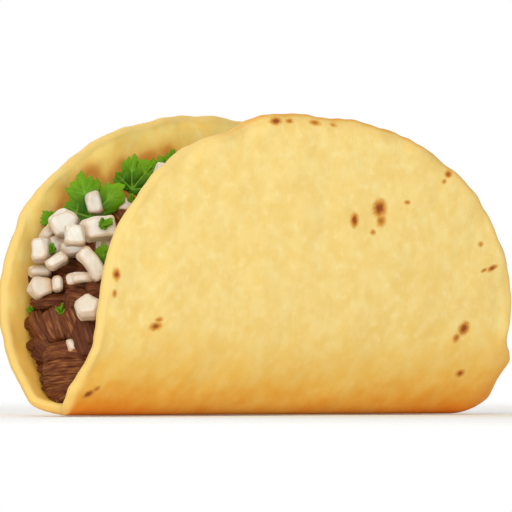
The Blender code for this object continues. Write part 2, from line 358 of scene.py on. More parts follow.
def mottleGroup():
    group, given, result = newGroup(
        "mottleAndGrain",
        [("Place", "v", None), ("Mottle Scale", "f", 3.0), ("Grain Scale", "f", 24.0)],
        [("Mottle", "f"), ("Grain", "f")],
    )
    for name, roughness in (("Mottle", 0.5), ("Grain", 0.6)):
        texture = group.nodes.new("ShaderNodeTexNoise")
        texture.inputs["Detail"].default_value = 3
        texture.inputs["Roughness"].default_value = roughness
        group.links.new(given.outputs["Place"], texture.inputs["Vector"])
        group.links.new(given.outputs[name + " Scale"], texture.inputs["Scale"])
        group.links.new(texture.outputs["Fac"], result.inputs[name])
    return group


mottleAndGrain = mottleGroup()


def mottleOf(tree, place, mottleScale, grainScale):
    node = groupNode(tree, mottleAndGrain)
    tree.links.new(place, node.inputs["Place"])
    node.inputs["Mottle Scale"].default_value = mottleScale
    node.inputs["Grain Scale"].default_value = grainScale
    return node.outputs["Mottle"], node.outputs["Grain"]


def newMaterial(name):
    material = bpy.data.materials.new(name)
    material.use_nodes = True
    return material, material.node_tree, material.node_tree.nodes["Principled BSDF"]


# shared by the pieces of filling

pushAngle = 42  # the filling's ends are laid out as seen from this far round each open end


def endAxes(side):
    # side is -1 for the left end and 1 for the right: across, up, and the way in
    angle = math.radians(pushAngle)
    across = Vector((math.cos(angle), side * math.sin(angle), 0))
    inward = Vector((-side * math.sin(angle), math.cos(angle), 0))
    return across, Vector((0, 0, 1)), inward


def randomPlace(along, across):
    # a place high over the filling, within so many mm of its middle
    return Vector((random.uniform(-along, along) * mm, random.uniform(-across, across) * mm, 0.2))


def randomTurnOn(normal):
    around = Matrix.Rotation(random.uniform(0, 6.3), 3, "Z")
    return normal.to_track_quat("Z", "Y").to_matrix() @ around


def mergedCopy(nodeName, pieceName):
    selectNone()
    piece = copyOf(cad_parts[nodeName], pieceName)
    piece.data.materials.clear()
    makeActive(piece)
    editAll(bpy.ops.mesh.remove_doubles, threshold=0.01 * mm)
    return piece


def treeOf(*nodeNames, behind=None):
    # the near half of the tortilla is left out where behind is given, so that a ray passes it
    places, faces = [], []
    for nodeName in nodeNames:
        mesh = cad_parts[nodeName].data
        first = len(places)
        places += [vertex.co.copy() for vertex in mesh.vertices]
        for polygon in mesh.polygons:
            if nodeName != "tortilla" or behind is None or polygon.center.y > behind:
                faces.append([first + i for i in polygon.vertices])
    return BVHTree.FromPolygons(places, faces)


def fadeFrom(tree, places, reach):
    # 1 where a place touches the tree's faces, and 0 from reach on
    fade = []
    for place in places:
        away = tree.find_nearest(Vector(place), reach)[3]
        fade.append(0 if away is None else 1 - away / reach)
    return np.array(fade)


def joinAll(pieces, name):
    selectNone()
    for piece in pieces:
        piece.select_set(True)
    bpy.context.view_layer.objects.active = pieces[0]
    bpy.ops.object.join()
    joined = bpy.context.object
    joined.name = name
    return joined


def shadeSmooth(piece):
    piece.data.polygons.foreach_set("use_smooth", [True] * len(piece.data.polygons))


# tortilla

tortilla = {
    "thickness": 3.0 * mm,
    # a squarish oval, the flatter along its rim the higher the power
    "halfLength": 75 * mm, "halfWidth": 88 * mm, "powerAlong": 1.7, "powerAcross": 4.2,
    "rimHalvings": 40, "rimReach": 80 * mm,
    # places where the outline swells or draws in: angle, width in degrees, depth
    "bulges": (
        (180, 5, -1.9 * mm), (180, 16, -1.6 * mm), (176, 3, 1.0 * mm), (172, 6, 0.5 * mm),
        (164, 6, -1.4 * mm),
        (-172, 6, 1.9 * mm), (154, 12, -0.6 * mm), (-6, 6, 0.7 * mm),
        (141, 5, -0.5 * mm), (134, 6, 0.2 * mm), (125, 4, -0.8 * mm), (110, 11, 1.1 * mm),
        (-153, 4, -0.9 * mm), (-123, 8, 1.3 * mm), (-99, 8, 1.4 * mm), (-88, 4, -0.7 * mm),
        (-74, 8, 0.1 * mm),
        (-48, 15, -0.45 * mm), (-21, 3.5, -1.6 * mm), (-15.5, 4, 2.9 * mm), (-4.5, 3.5, 2.0 * mm),
    ),
    "foldReach": (4.7 * mm, 9 * mm, 18 * mm, 32 * mm, 50 * mm),
    "foldSteepness": (0, 52, 56, 81, 88.5),
    "foldStep": 0.1 * mm, "foldLimit": 100 * mm, "foldEase": 15,
    "heelStart": 66 * mm, "heelLength": 9 * mm, "heelLift": 2.6 * mm, "heelReach": 26 * mm,
    "tuckFrom": 56 * mm, "tuckTo": 74 * mm, "tuckLift": 2.4 * mm,
    "tuckPlace": 8.5 * mm, "tuckWidth": 6.5 * mm,
    "columns": 190, "rows": 212,
    "rimCrowding": 0.8,
    "rimRound": 1.7 * mm,
    "edgeWave": 0.7 * mm, "edgeWaveSize": 8 * mm, "edgeNick": 0.42 * mm, "edgeNickSize": 3.4 * mm,
    "puff": 0.42 * mm, "puffSize": 11 * mm,
    "sway": 0.9 * mm, "swaySize": 55 * mm,
    "rimRoll": 1.3 * mm, "rimRollSize": 10 * mm,
    "flatWidth": 200 * mm,
    # the filling's juice stain and painted shade on the bread behind it: which pieces, how near,
    # how far, how much lower than the piece, steps outwards, strength
    "soakShades": (
        (("leaf_big", "leaf_second", "leaf_third"), 0.2 * mm, 6.4 * mm, 3.4 * mm, 11, 0.82),
        (("leaf_left", "onion"), 0.3 * mm, 4.0 * mm, 0, 3, 0.4),
        (("meat",), 0.2 * mm, 3.0 * mm, 0, 1, 0.6),
    ),
    "soakShadeStep": 2.5 * mm,
    "spotSize": 1.35, "endBrown": 0.035,
    # how toasted, and darkened with painted edge shade, the far rim and the near rim's left end
    # are, and round which degrees that changes
    "farRimToastShade": 0.18, "leftRimToastShade": 0.1, "toastShadeLeft": (-118, -96), "toastShadeRight": (-8, 40),
}

# toasted spots on the near outer face: share of the half length, share of the height, width and
# height (mm), turn, strength and, where a smaller spot trails from it, which way and how far (mm)
toastSpots = (
    (-0.18, 0.98, 3.0, 1.5, 0, 1.0, 0, 5.0), (0.01, 0.975, 3.0, 1.2, -8, 0.75, -5, 6.5),
    (0.20, 0.65, 2.1, 2.8, 0, 1.0), (0.32, 0.69, 3.6, 3.4, 30, 1.0, -80, 3.4),
    (0.29, 0.61, 1.6, 1.2, 0, 0.65), (0.45, 0.71, 1.6, 1.0, 0, 0.7),
    (0.65, 0.805, 2.0, 1.5, 20, 0.85, -130, 2.5),
    (0.81, 0.57, 1.6, 1.2, 0, 0.6), (0.865, 0.49, 2.8, 1.1, 20, 0.95, 190, 3.0),
    (0.75, 0.29, 3.0, 2.4, 35, 1.0, -135, 3.3), (0.79, 0.145, 2.2, 1.7, 0, 0.9),
    (-0.92, 0.47, 2.0, 2.4, 0, 0.9, -95, 5.0), (-0.72, 0.30, 3.0, 1.6, 10, 0.9, 60, 2.0),
    (-0.94, 0.085, 2.8, 1.9, 25, 1.0, 40, 2.6),
)
trailing = {"size": 0.7, "strength": 0.75}


def foldTable():
    step = tortilla["foldStep"]
    reach = np.arange(0, tortilla["foldLimit"], step)
    steep = np.interp(reach + step / 2, tortilla["foldReach"], tortilla["foldSteepness"])
    # each corner of the bend is eased, as dough bends
    ease = tortilla["foldEase"]
    easing = np.ones(2 * ease + 1) / (2 * ease + 1)
    steep = np.convolve(np.pad(np.radians(steep), ease, mode="edge"), easing, "valid")
    y = np.concatenate([[0], np.cumsum(np.cos(steep) * step)[:-1]])
    z = tortilla["thickness"] / 2 + np.concatenate([[0], np.cumsum(np.sin(steep) * step)[:-1]])
    return reach, y, z, steep


foldReachTable, foldY, foldZ, foldSteep = foldTable()


def spotsOnBread():
    # every toasted spot on the flat bread: along, up, width, height, turn, strength
    spots = []
    for along, rise, width, height, turn, strength, *trail in toastSpots:
        x = along * tortilla["halfLength"]
        up = np.interp(rise * cadBox[1][2], foldZ, foldReachTable)
        spots.append((x, up, width * mm, height * mm, turn, strength))
        if trail:
            way, far = math.radians(trail[0]), trail[1] * mm
            size = trailing["size"] * mm
            spots.append((
                x + far * math.cos(way), up + far * math.sin(way), width * size, height * size,
                turn, strength * trailing["strength"],
            ))
    return spots


def foldPoints(x, reach, inward):
    away = np.abs(reach)
    y = np.interp(away, foldReachTable, foldY)
    z = np.interp(away, foldReachTable, foldZ)
    steep = np.interp(away, foldReachTable, foldSteep)
    y = y - np.sin(steep) * inward
    z = z + np.cos(steep) * inward
    past = np.clip((x - tortilla["heelStart"]) / tortilla["heelLength"], 0, None)
    low = np.clip(1 - (away / tortilla["heelReach"]) ** 2, 0, None)
    z = z + tortilla["heelLift"] * past * past * low
    tuck = np.exp(-(((reach - tortilla["tuckPlace"]) / tortilla["tuckWidth"]) ** 2))
    z = z + tortilla["tuckLift"] * tuck * smooth(tortilla["tuckFrom"], tortilla["tuckTo"], -x)
    return np.stack([x, np.copysign(y, reach), z], 1)


def noiseAt(points, size, seed=0.0):
    shift = Vector((seed * 7.3, seed * 3.1, seed * 5.7))
    return np.array([noise.noise(Vector(point) / size + shift) for point in points])


def rimRadius(angle):
    along = np.abs(np.cos(angle)) / tortilla["halfLength"]
    across = np.abs(np.sin(angle)) / tortilla["halfWidth"]
    radius = np.zeros_like(angle)
    outer = radius + tortilla["halfLength"] + tortilla["halfWidth"]
    for _ in range(tortilla["rimHalvings"]):
        middle = (radius + outer) / 2
        total = (middle * along) ** tortilla["powerAlong"]
        total += (middle * across) ** tortilla["powerAcross"]
        radius = np.where(total < 1, middle, radius)
        outer = np.where(total < 1, outer, middle)
    for middle, width, depth in tortilla["bulges"]:
        past = (np.degrees(angle) - middle + 180) % 360 - 180
        radius += depth * np.exp(-((past / width) ** 2))
    ring = np.stack([np.cos(angle), np.sin(angle), np.zeros_like(angle)], 1) * tortilla["rimReach"]
    radius += tortilla["edgeWave"] * noiseAt(ring, tortilla["edgeWaveSize"], 1.0)
    radius += tortilla["edgeNick"] * noiseAt(ring, tortilla["edgeNickSize"], 2.0)
    return radius


def soakShadeOf(places, inner):
    # juice stain and painted shade: the inside of the bread darkens near the filling and round it
    # as seen from each open end
    soakShade = np.zeros(len(places))
    inwards = np.array([endAxes(1 if x > 0 else -1)[2] for x in places[inner][:, 0]])
    for starts, close, far, drop, steps, strength in tortilla["soakShades"]:
        tree = treeOf(*[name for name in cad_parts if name.startswith(starts)])
        for step in range(steps):
            sample = places[inner] - inwards * step * tortilla["soakShadeStep"] + np.array([0, 0, drop])
            away = far * (1 - fadeFrom(tree, sample, far))
            soakShade[inner] = np.maximum(soakShade[inner], strength * smooth(far, close, away))
    return soakShade


def makeTortilla():
    selectNone()
    bpy.ops.mesh.primitive_grid_add(
        x_subdivisions=tortilla["columns"], y_subdivisions=tortilla["rows"], size=2
    )
    piece = bpy.context.object
    piece.name = "foldedTortilla"
    square = pointsOf(piece)
    crowd = tortilla["rimCrowding"]
    u, v = ((1 - crowd) * square[:, i] + crowd * np.sin(square[:, i] * math.pi / 2) for i in (0, 1))
    across = u * np.sqrt(1 - v * v / 2)
    reach = v * np.sqrt(1 - u * u / 2)
    angle = np.arctan2(reach, across)
    away = np.hypot(across, reach)
    radius = rimRadius(angle)
    flat = np.stack([across * radius, reach * radius, np.zeros_like(across)], 1)
    fromRim = (1 - away) * radius
    setPoints(piece, flat)
    uvLayer = piece.data.uv_layers.active or piece.data.uv_layers.new()
    uvLayer.name = "flatBread"
    corner = np.empty(len(piece.data.loops), np.int32)
    piece.data.loops.foreach_get("vertex_index", corner)
    onSheet = flat[corner, :2] / tortilla["flatWidth"] + 0.5
    uvLayer.data.foreach_set("uv", onSheet.astype(np.float32).ravel())
    applyModifier(piece, "SOLIDIFY", thickness=tortilla["thickness"], offset=0)

    # the modifier keeps the first points on one side and adds the other side after them
    side = np.sign(pointsOf(piece)[:, 2])
    flat = np.concatenate([flat, flat])
    fromRim = np.concatenate([fromRim, fromRim])
    angle = np.degrees(np.concatenate([angle, angle]))
    inRim = np.clip(fromRim / tortilla["rimRound"], 0, 1)
    half = tortilla["thickness"] / 2 * np.sqrt(1 - (1 - inRim) ** 2)
    places = foldPoints(flat[:, 0], flat[:, 1], side * half)
    layer = np.where(side > 0, 3.0, 9.0) * tortilla["puffSize"]
    sample = np.stack([flat[:, 0], flat[:, 1], layer], 1)
    height = tortilla["puff"] * noiseAt(sample, tortilla["puffSize"])
    height += 0.35 * tortilla["puff"] * noiseAt(sample, tortilla["puffSize"] * 0.36, 4.0)
    height *= smooth(3 * mm, 14 * mm, np.abs(flat[:, 1])) * smooth(0, 2.5 * mm, fromRim)
    steep = np.interp(np.abs(flat[:, 1]), foldReachTable, foldSteep)
    sideways = -np.sin(steep) * np.sign(flat[:, 1])
    outward = np.stack([np.zeros_like(steep), sideways, np.cos(steep)], 1)
    roll = tortilla["rimRoll"] * noiseAt(flat, tortilla["rimRollSize"], 6.0)
    roll *= smooth(6 * mm, 0, fromRim) * smooth(8 * mm, 24 * mm, np.abs(flat[:, 1]))
    places += outward * (side * height + roll)[:, None]
    bend = tortilla["sway"] * noiseAt(flat, tortilla["swaySize"], 5.0)
    places[:, 1] += bend * smooth(20 * mm, 60 * mm, np.abs(flat[:, 1]))
    # the near flap's rim is toasted and darkened with painted edge shade except at its left, and
    # the far flap's less so
    leftRimToastShade, farRimToastShade = tortilla["leftRimToastShade"], tortilla["farRimToastShade"]
    toastShade = leftRimToastShade + (1 - leftRimToastShade) * smooth(*tortilla["toastShadeLeft"], angle)
    toastShade = np.where(angle < 0, toastShade, farRimToastShade)
    rightFrom, rightTo = tortilla["toastShadeRight"]
    fading = np.maximum(farRimToastShade, toastShade * smooth(rightTo, rightFrom, angle))
    toastShade = np.where(angle > rightFrom, fading, toastShade)
    setPoints(piece, places)
    setAttribute(piece, "inside", side > 0)
    setAttribute(piece, "fromRim", fromRim / (10 * mm))
    endward = smooth(0.2, 0.95, np.abs(flat[:, 0]) / tortilla["halfLength"])
    setAttribute(piece, "upFlap", np.abs(flat[:, 1]) / (100 * mm) - tortilla["endBrown"] * endward)
    setAttribute(piece, "nearFlap", smooth(3 * mm, -3 * mm, flat[:, 1]))
    setAttribute(piece, "rimToastShade", toastShade)
    setAttribute(piece, "fillingShade", soakShadeOf(places, side > 0))
    shadeSmooth(piece)
    piece.data.materials.append(tortillaMaterial())
    finishPiece(piece, "tortilla", "tortilla")
    print("tortilla:", len(piece.data.polygons), "faces")
    within = [
        polygon.vertices for polygon in piece.data.polygons
        if side[list(polygon.vertices)].min() > 0
    ]
    return BVHTree.FromPolygons([Vector(place) for place in places], within)


def spotGroup():
    group, given, result = newGroup(
        "toastSpot",
        [("Place", "v", None), ("Middle", "v", None), ("Width", "f", 0.01), ("Height", "f", 0.01),
         ("Turn", "f", 0.0), ("Strength", "f", 1.0)],
        [("Mask", "f")],
    )
    links = group.links
    away = group.nodes.new("ShaderNodeVectorMath")
    away.operation = "SUBTRACT"
    links.new(given.outputs["Place"], away.inputs[0])
    links.new(given.outputs["Middle"], away.inputs[1])
    turned = group.nodes.new("ShaderNodeVectorRotate")
    turned.rotation_type = "Z_AXIS"
    links.new(away.outputs[0], turned.inputs["Vector"])
    links.new(given.outputs["Turn"], turned.inputs["Angle"])
    split = group.nodes.new("ShaderNodeSeparateXYZ")
    links.new(turned.outputs["Vector"], split.inputs["Vector"])
    x = math2(group, "DIVIDE", split.outputs["X"], given.outputs["Width"])
    y = math2(group, "DIVIDE", split.outputs["Y"], given.outputs["Height"])
    square = math2(group, "ADD", math2(group, "POWER", x, 2), math2(group, "POWER", y, 2))
    wobble = noiseOf(group, given.outputs["Place"], 190, 3, 0.6)
    ragged = sumOf(group, math2(group, "SQRT", square, 0), wobble, 0.7)
    mask = mapRange(group, ragged, 0.3, 2.0, 1, 0)
    links.new(productOf(group, mask, given.outputs["Strength"]), result.inputs["Mask"])
    return group


def tortillaMaterial():
    material, tree, shader = newMaterial("wheatTortilla")
    uv = tree.nodes.new("ShaderNodeUVMap")
    uv.uv_map = "flatBread"
    place = uv.outputs["UV"]
    inside = attributeOf(tree, "inside")
    fromRim = attributeOf(tree, "fromRim")
    upFlap = attributeOf(tree, "upFlap")
    nearFlap = attributeOf(tree, "nearFlap")
    rimToastShade = attributeOf(tree, "rimToastShade")
    broad = noiseOf(tree, place, 12, 3, 0.5)
    blotch, fine = mottleOf(tree, place, 34, 300)
    fleck = noiseOf(tree, place, 75, 2, 0.4)

    outer = tint(tree, colorOf(240, 209, 124), (243, 217, 138), blotch, 0.36, 0.64)
    outer = tint(tree, outer, (247, 226, 156), fleck, 0.5, 0.82, 0, 0.7)
    outer = tint(tree, outer, (237, 202, 112), fleck, 0.5, 0.22, 0, 0.5)
    outer = tint(tree, outer, (238, 202, 113), broad, 0.5, 0.72, 0, 0.4)
    inner = tint(tree, colorOf(255, 219, 116), (255, 232, 140), blotch, 0.35, 0.65)
    inner = tint(tree, inner, (255, 238, 160), fleck, 0.5, 0.75, 0, 0.5)
    inner = tint(tree, inner, (250, 204, 96), broad, 0.48, 0.7, 0, 0.5)
    # painted shade: the inside turns a deeper gold away from its rim
    goldenShade = uneven(tree, fromRim, blotch, 1.2)
    inner = tint(tree, inner, (255, 192, 72), goldenShade, 0.45, 1.7, 0, 0.9)
    faceColor = mixColor(tree, inside, outer, inner)

    # the outer face browns towards the fold, with an uneven edge; the inside is painted darker and
    # warmer there as shade
    low = uneven(tree, upFlap, blotch, 0.16)
    warm = tint(tree, faceColor, (240, 193, 84), low, 0.08, 0.36, 1, 0)
    deepInsideShade = tint(tree, faceColor, (249, 193, 88), low, 0.16, 0.50, 1, 0)
    brown = tint(tree, warm, (232, 143, 4), low, -0.01, 0.19, 1, 0)
    deep = tint(tree, brown, (250, 138, 2), upFlap, 0.0, 0.08, 1, 0)
    outside = math2(tree, "SUBTRACT", 1.0, inside)
    browned = mixColor(tree, outside, deepInsideShade, deep)

    # juice stain and painted shade near the filling: orange, then darker brown where nearest
    soakShadeMottle = mapRange(tree, blotch, 0.3, 0.6, 0.75, 1.0)
    soakShade = productOf(tree, attributeOf(tree, "fillingShade"), soakShadeMottle)
    browned = tint(tree, browned, (236, 170, 66), soakShade, 0.0, 0.8, 0, 0.8)
    browned = tint(tree, browned, (200, 112, 30), soakShade, 0.35, 1.0, 0, 0.8)

    rim = mapRange(tree, fromRim, 0.05, 0.30, 0.8, 0)
    pale = tint(tree, colorOf(229, 200, 122), (246, 216, 128), upFlap, 0.05, 0.3, 1, 0)
    rimmed = mixColor(tree, rim, browned, pale)
    ragged = uneven(tree, fromRim, blotch, 0.12)
    # the rim's toast and painted edge shade: a soft halo, a deeper band low on the outside, and a
    # dark line at the very edge
    halo = productOf(tree, mapRange(tree, ragged, 0.0, 0.45, 0.3, 0), rimToastShade)
    haloed = mixColor(tree, halo, rimmed, colorOf(234, 182, 84))
    lowRim = productOf(
        tree, mapRange(tree, fromRim, 0.0, 1.1, 0.8, 0), mapRange(tree, upFlap, 0.08, 0.3, 1, 0),
        outside, rimToastShade,
    )
    haloed = mixColor(tree, lowRim, haloed, colorOf(228, 150, 40))
    edge = productOf(tree, mapRange(tree, ragged, 0.0, 0.12, 1, 0), rimToastShade)
    edged = mixColor(tree, edge, haloed, colorOf(227, 164, 60))

    group = spotGroup()
    spots = None
    for x, up, width, height, turn, strength in spotsOnBread():
        node = groupNode(tree, group)
        tree.links.new(place, node.inputs["Place"])
        sheet = tortilla["flatWidth"]
        node.inputs["Middle"].default_value = (x / sheet + 0.5, 0.5 - up / sheet, 0)
        node.inputs["Width"].default_value = tortilla["spotSize"] * width / (2 * sheet)
        node.inputs["Height"].default_value = tortilla["spotSize"] * height / (2 * sheet)
        node.inputs["Turn"].default_value = math.radians(turn)
        node.inputs["Strength"].default_value = strength
        mask = node.outputs["Mask"]
        spots = mask if spots is None else math2(tree, "MAXIMUM", spots, mask)
    spots = productOf(tree, spots, outside)
    cells = tree.nodes.new("ShaderNodeTexVoronoi")
    cells.inputs["Scale"].default_value = 17
    tree.links.new(place, cells.inputs["Vector"])
    chosen = mapRange(tree, cells.outputs["Color"], 0.55, 0.9)
    ragged = sumOf(tree, cells.outputs["Distance"], fleck, 0.12)
    sparse = productOf(
        tree, mapRange(tree, ragged, 0.08, 0.2, 1, 0), chosen,
        math2(tree, "SUBTRACT", 1.0, nearFlap),
        math2(tree, "SUBTRACT", 1.0, math2(tree, "MULTIPLY", inside, 0.85)),
    )
    spots = math2(tree, "MAXIMUM", spots, sparse)
    scorched = tint(tree, edged, (214, 148, 54), spots, 0.0, 0.55)
    scorched = tint(tree, scorched, (148, 70, 16), spots, 0.42, 0.95)
    shader.inputs["Roughness"].default_value = 0.6
    dressShader(tree, shader, scorched, 0.25, sumOf(tree, fleck, fine, 0.35), 0.3, 0.35 * mm)
    return material


breadInside = makeTortilla()


def keepInBread(places, gap):
    # moves what would cut into the bread back to its inner face
    kept = places.copy()
    for i, place in enumerate(places):
        near, normal, _, away = breadInside.find_nearest(Vector(place), 8 * mm)
        if near is None:
            continue
        proud = (Vector(place) - near).dot(normal)
        if proud < gap and away < 8 * mm:
            kept[i] = near + normal * gap + (Vector(place) - near - normal * proud)
    return kept


# shredded meat

meat = {
    "coreVoxel": 1.1 * mm, "coreShrink": 0.9 * mm, "coreRelief": 0.7 * mm,
    "fineSides": 60, "fineRings": 15, "plainSides": 26, "plainRings": 9,
    "kinds": 8, "lobes": (9, 13),
    "topCount": 300, "topLength": (8 * mm, 17 * mm), "topWidth": (2.2 * mm, 4.4 * mm),
    "topAlong": 60, "topAcross": 18, "topSink": (-1.0, 0.1), "topSteep": 0.35,
    # the far open end: up and across in mm, with the low part narrower
    "farCount": 60, "farFoot": 3, "farRise": 45, "farLow": 12,
    "farReach": (40, 57), "farLowReach": (46, 55), "farLimit": 68 * mm,
    "farLength": (7, 13), "farWidth": (3.2, 5.4), "farSink": (0.2, 1.0),
    "spread": 40,
    "blunt": 6, "sharp": 1.1, "shortLength": 6.5 * mm,
    "gap": 0.1 * mm, "kindSeed": 11, "seed": 5,
}

# shreds at the near open end, the deepest first: across, up, turn, length, width, thickness, how
# proud (mm), hook, tone (lower is darker, painted shade on the deeper ones)
endShreds = (
    (-45.0, 20.0, -75, 11.0, 6.4, 3.0, -0.5, 0.0, -0.5),
    (-47.5, 29.0, 80, 10.0, 7.2, 3.0, -0.4, 0.0, -0.4),
    (-41.5, 28.0, 70, 9.0, 5.0, 3.0, -0.4, 0.0, -0.5),
    (-56.8, 36.0, 20, 8.0, 5.0, 3.0, -0.2, 0.0, -0.4),
    (-50.0, 39.0, -10, 9.0, 5.2, 3.0, -0.2, 0.0, -0.2),
    (-44.0, 40.5, 15, 8.0, 5.0, 3.0, -0.2, 0.0, -0.3),
    (-54.5, 46.5, 30, 7.0, 5.0, 3.0, -0.2, 0.0, -0.3),
    (-44.0, 44.5, -5, 7.0, 5.2, 3.0, 0.0, 0.0, -0.2),
    # ragged ends against the far flap
    (-58.8, 24.0, -6, 6.2, 3.4, 2.6, 0.2, 0.0, -0.3),
    (-57.6, 21.6, -30, 6.0, 3.2, 2.4, 0.1, 0.0, -0.4),
    (-57.9, 18.2, -14, 6.2, 3.2, 2.4, 0.2, 0.0, -0.4),
    (-56.6, 15.6, -20, 5.6, 3.0, 2.4, 0.1, 0.0, -0.45),
    (-55.0, 11.9, -12, 6.0, 2.6, 2.4, 0.2, 0.0, -0.35),
    (-54.6, 9.3, -10, 5.6, 2.2, 2.4, 0.2, 0.0, -0.35),
    (-54.0, 7.0, -6, 5.6, 2.2, 2.2, 0.2, 0.0, -0.3),
    (-52.2, 5.2, -24, 4.8, 2.4, 2.2, 0.1, 0.0, -0.35),
    # the upper bands
    (-41.0, 33.6, 10, 9.0, 4.8, 3.0, 0.2, 0.0, -0.15),
    (-47.6, 35.0, -10, 9.0, 4.6, 3.0, 0.3, 0.0, 0.05),
    (-53.6, 33.6, 12, 9.5, 4.0, 3.0, 0.2, 0.0, -0.1),
    (-54.2, 30.2, 2, 11.6, 3.8, 2.8, 0.5, 0.0, -0.05),
    (-46.2, 31.2, -10, 9.0, 4.4, 2.8, 0.4, 0.0, 0.0),
    # upright strands side by side
    (-44.6, 22.6, -76, 9.6, 5.6, 3.0, 0.3, 0.0, -0.35),
    (-56.8, 23.0, -62, 10.6, 5.6, 3.2, 0.5, 0.10, 0.0),
    (-56.0, 18.4, -50, 7.5, 4.6, 2.6, 0.3, 0.0, -0.3),
    (-52.4, 24.2, -68, 11.0, 7.6, 3.6, 0.8, 0.05, 0.35),
    (-47.8, 24.0, -66, 10.4, 6.6, 3.4, 0.9, 0.0, 0.3),
    # broad pieces lying across
    (-50.0, 17.0, 2, 14.6, 5.8, 3.6, 1.1, -0.16, 0.3),
    (-50.2, 13.0, 7, 13.4, 5.4, 3.2, 0.9, -0.04, 0.35),
    (-51.0, 9.6, 6, 12.4, 4.6, 3.0, 0.7, 0.0, 0.15), (-51.6, 6.8, 12, 8.6, 3.8, 2.8, 0.6, 0.0, 0.1),
    (-51.2, 4.8, 34, 6.4, 3.6, 2.8, 0.6, 0.0, 0.15),
    (-51.8, 3.4, -44, 4.0, 2.6, 2.2, 0.3, 0.0, -0.1),
    # the rolled piece between the leaves
    (-38.6, 53.0, 52, 8.6, 4.2, 3.4, 4.2, -0.25, 0.2),
    (-35.0, 52.6, -52, 9.0, 4.4, 3.4, 3.4, 0.2, 0.3),
    (-37.0, 50.6, -20, 6.0, 3.4, 2.6, 0.4, 0.0, -0.2),
)


def shredKinds():
    random.seed(meat["kindSeed"])
    kinds = []
    for _ in range(meat["kinds"]):
        lobes = random.randint(*meat["lobes"])
        edges = sorted(random.uniform(0, 1) for _ in range(lobes))
        edges = [0.35 * edge + 0.65 * i / lobes for i, edge in enumerate(edges)]
        kinds.append({
            "edges": np.array(edges),
            "rise": np.array([random.uniform(0.84, 1.12) for _ in edges]),
            "start": np.array([random.uniform(0.74, 1.0) for _ in edges]),
            "stop": np.array([random.uniform(0.74, 1.0) for _ in edges]),
            "wander": random.uniform(0, 50),
            "twist": random.uniform(-0.5, 0.5),
        })
    return kinds


def plainShred(sides, rings):
    selectNone()
    bpy.ops.mesh.primitive_cylinder_add(
        vertices=sides, radius=1, depth=2, end_fill_type="TRIFAN", rotation=(0, math.pi / 2, 0)
    )
    piece = bpy.context.object
    bpy.ops.object.transform_apply(location=True, rotation=True, scale=True)
    bpy.ops.object.mode_set(mode="EDIT")
    bpy.ops.mesh.select_mode(type="EDGE")
    bpy.ops.mesh.select_all(action="DESELECT")
    bpy.ops.object.mode_set(mode="OBJECT")
    for edge in piece.data.edges:
        a, b = (piece.data.vertices[i].co for i in edge.vertices)
        edge.select = abs(a.x - b.x) > 1
    bpy.ops.object.mode_set(mode="EDIT")
    bpy.ops.mesh.subdivide(number_cuts=rings)
    bpy.ops.object.mode_set(mode="OBJECT")
    return piece


def shapeShred(plain, kind, length, width, thick, hook, curl):
    # along is -1 to 1 down the shred, and around is 0 to 1 about it
    along = plain[:, 0].copy()
    middle = np.hypot(plain[:, 1], plain[:, 2]) < 0.5
    around = (np.arctan2(plain[:, 1], -plain[:, 2]) / (2 * math.pi)) % 1
    around = (around + kind["twist"] * along / 6) % 1
    edges = kind["edges"]
    lobe = (np.searchsorted(edges, around, side="right") - 1) % len(edges)
    start = edges[lobe]
    size = (edges[(lobe + 1) % len(edges)] - start) % 1
    share = ((around - start) % 1) / size
    groove = np.abs(2 * share - 1) ** 3
    bumps = np.array([
        noise.noise(Vector((a * length / (3 * mm), s * 6 + kind["wander"], 0)))
        for a, s in zip(along, around)
    ])
    radius = kind["rise"][lobe] * (1 - 0.17 * groove) * (1 + 0.14 * bumps)
    blunt = meat["blunt"] if length > meat["shortLength"] else meat["sharp"]
    taper = np.sqrt(np.clip(1 - np.abs(along) ** blunt * 0.9, 0.02, 1))
    radius = np.where(middle, 0, radius * taper)
    cut = np.where(along > 0, kind["stop"][lobe], kind["start"][lobe])
    late = np.clip((np.abs(along) - 0.5) / 0.5, 0, 1)
    slide = np.where(middle, 0.90, 1 - late * (1 - cut))
    along = along * slide
    turn = 2 * math.pi * around
    y = np.sin(turn) * radius * width / 2
    z = -np.cos(turn) * radius * thick / 2
    x = along * length / 2
    straight = np.stack([x, y, z], 1)
    y = y + hook * length / 2 * along ** 2
    z = z - curl * length / 2 * along ** 2
    return np.stack([x, y, z], 1), straight, np.where(middle, 1, groove), along, -np.cos(turn)


def layShred(plainPiece, plain, kind, length, width, thick, hook, curl, tone, basis, middle):
    piece = copyOf(plainPiece, "shred")
    bent, straight, groove, along, facing = shapeShred(
        plain, kind, length, width, thick, hook, curl
    )
    turned = bent @ np.array(basis.to_3x3().transposed()) + np.array(middle)
    setPoints(piece, keepInBread(turned, meat["gap"]))
    offset = np.array([random.uniform(-5, 5) for _ in range(3)])
    setVectors(piece, "fibre", straight / (10 * mm) + offset)
    setAttribute(piece, "groove", groove)
    setAttribute(piece, "tone", np.full(len(plain), tone))
    # painted highlight: brighter on each shred's outer side, towards its middle
    setAttribute(piece, "shine", np.clip(facing, 0, 1) * (1 - along ** 2))
    shadeSmooth(piece)
    return piece


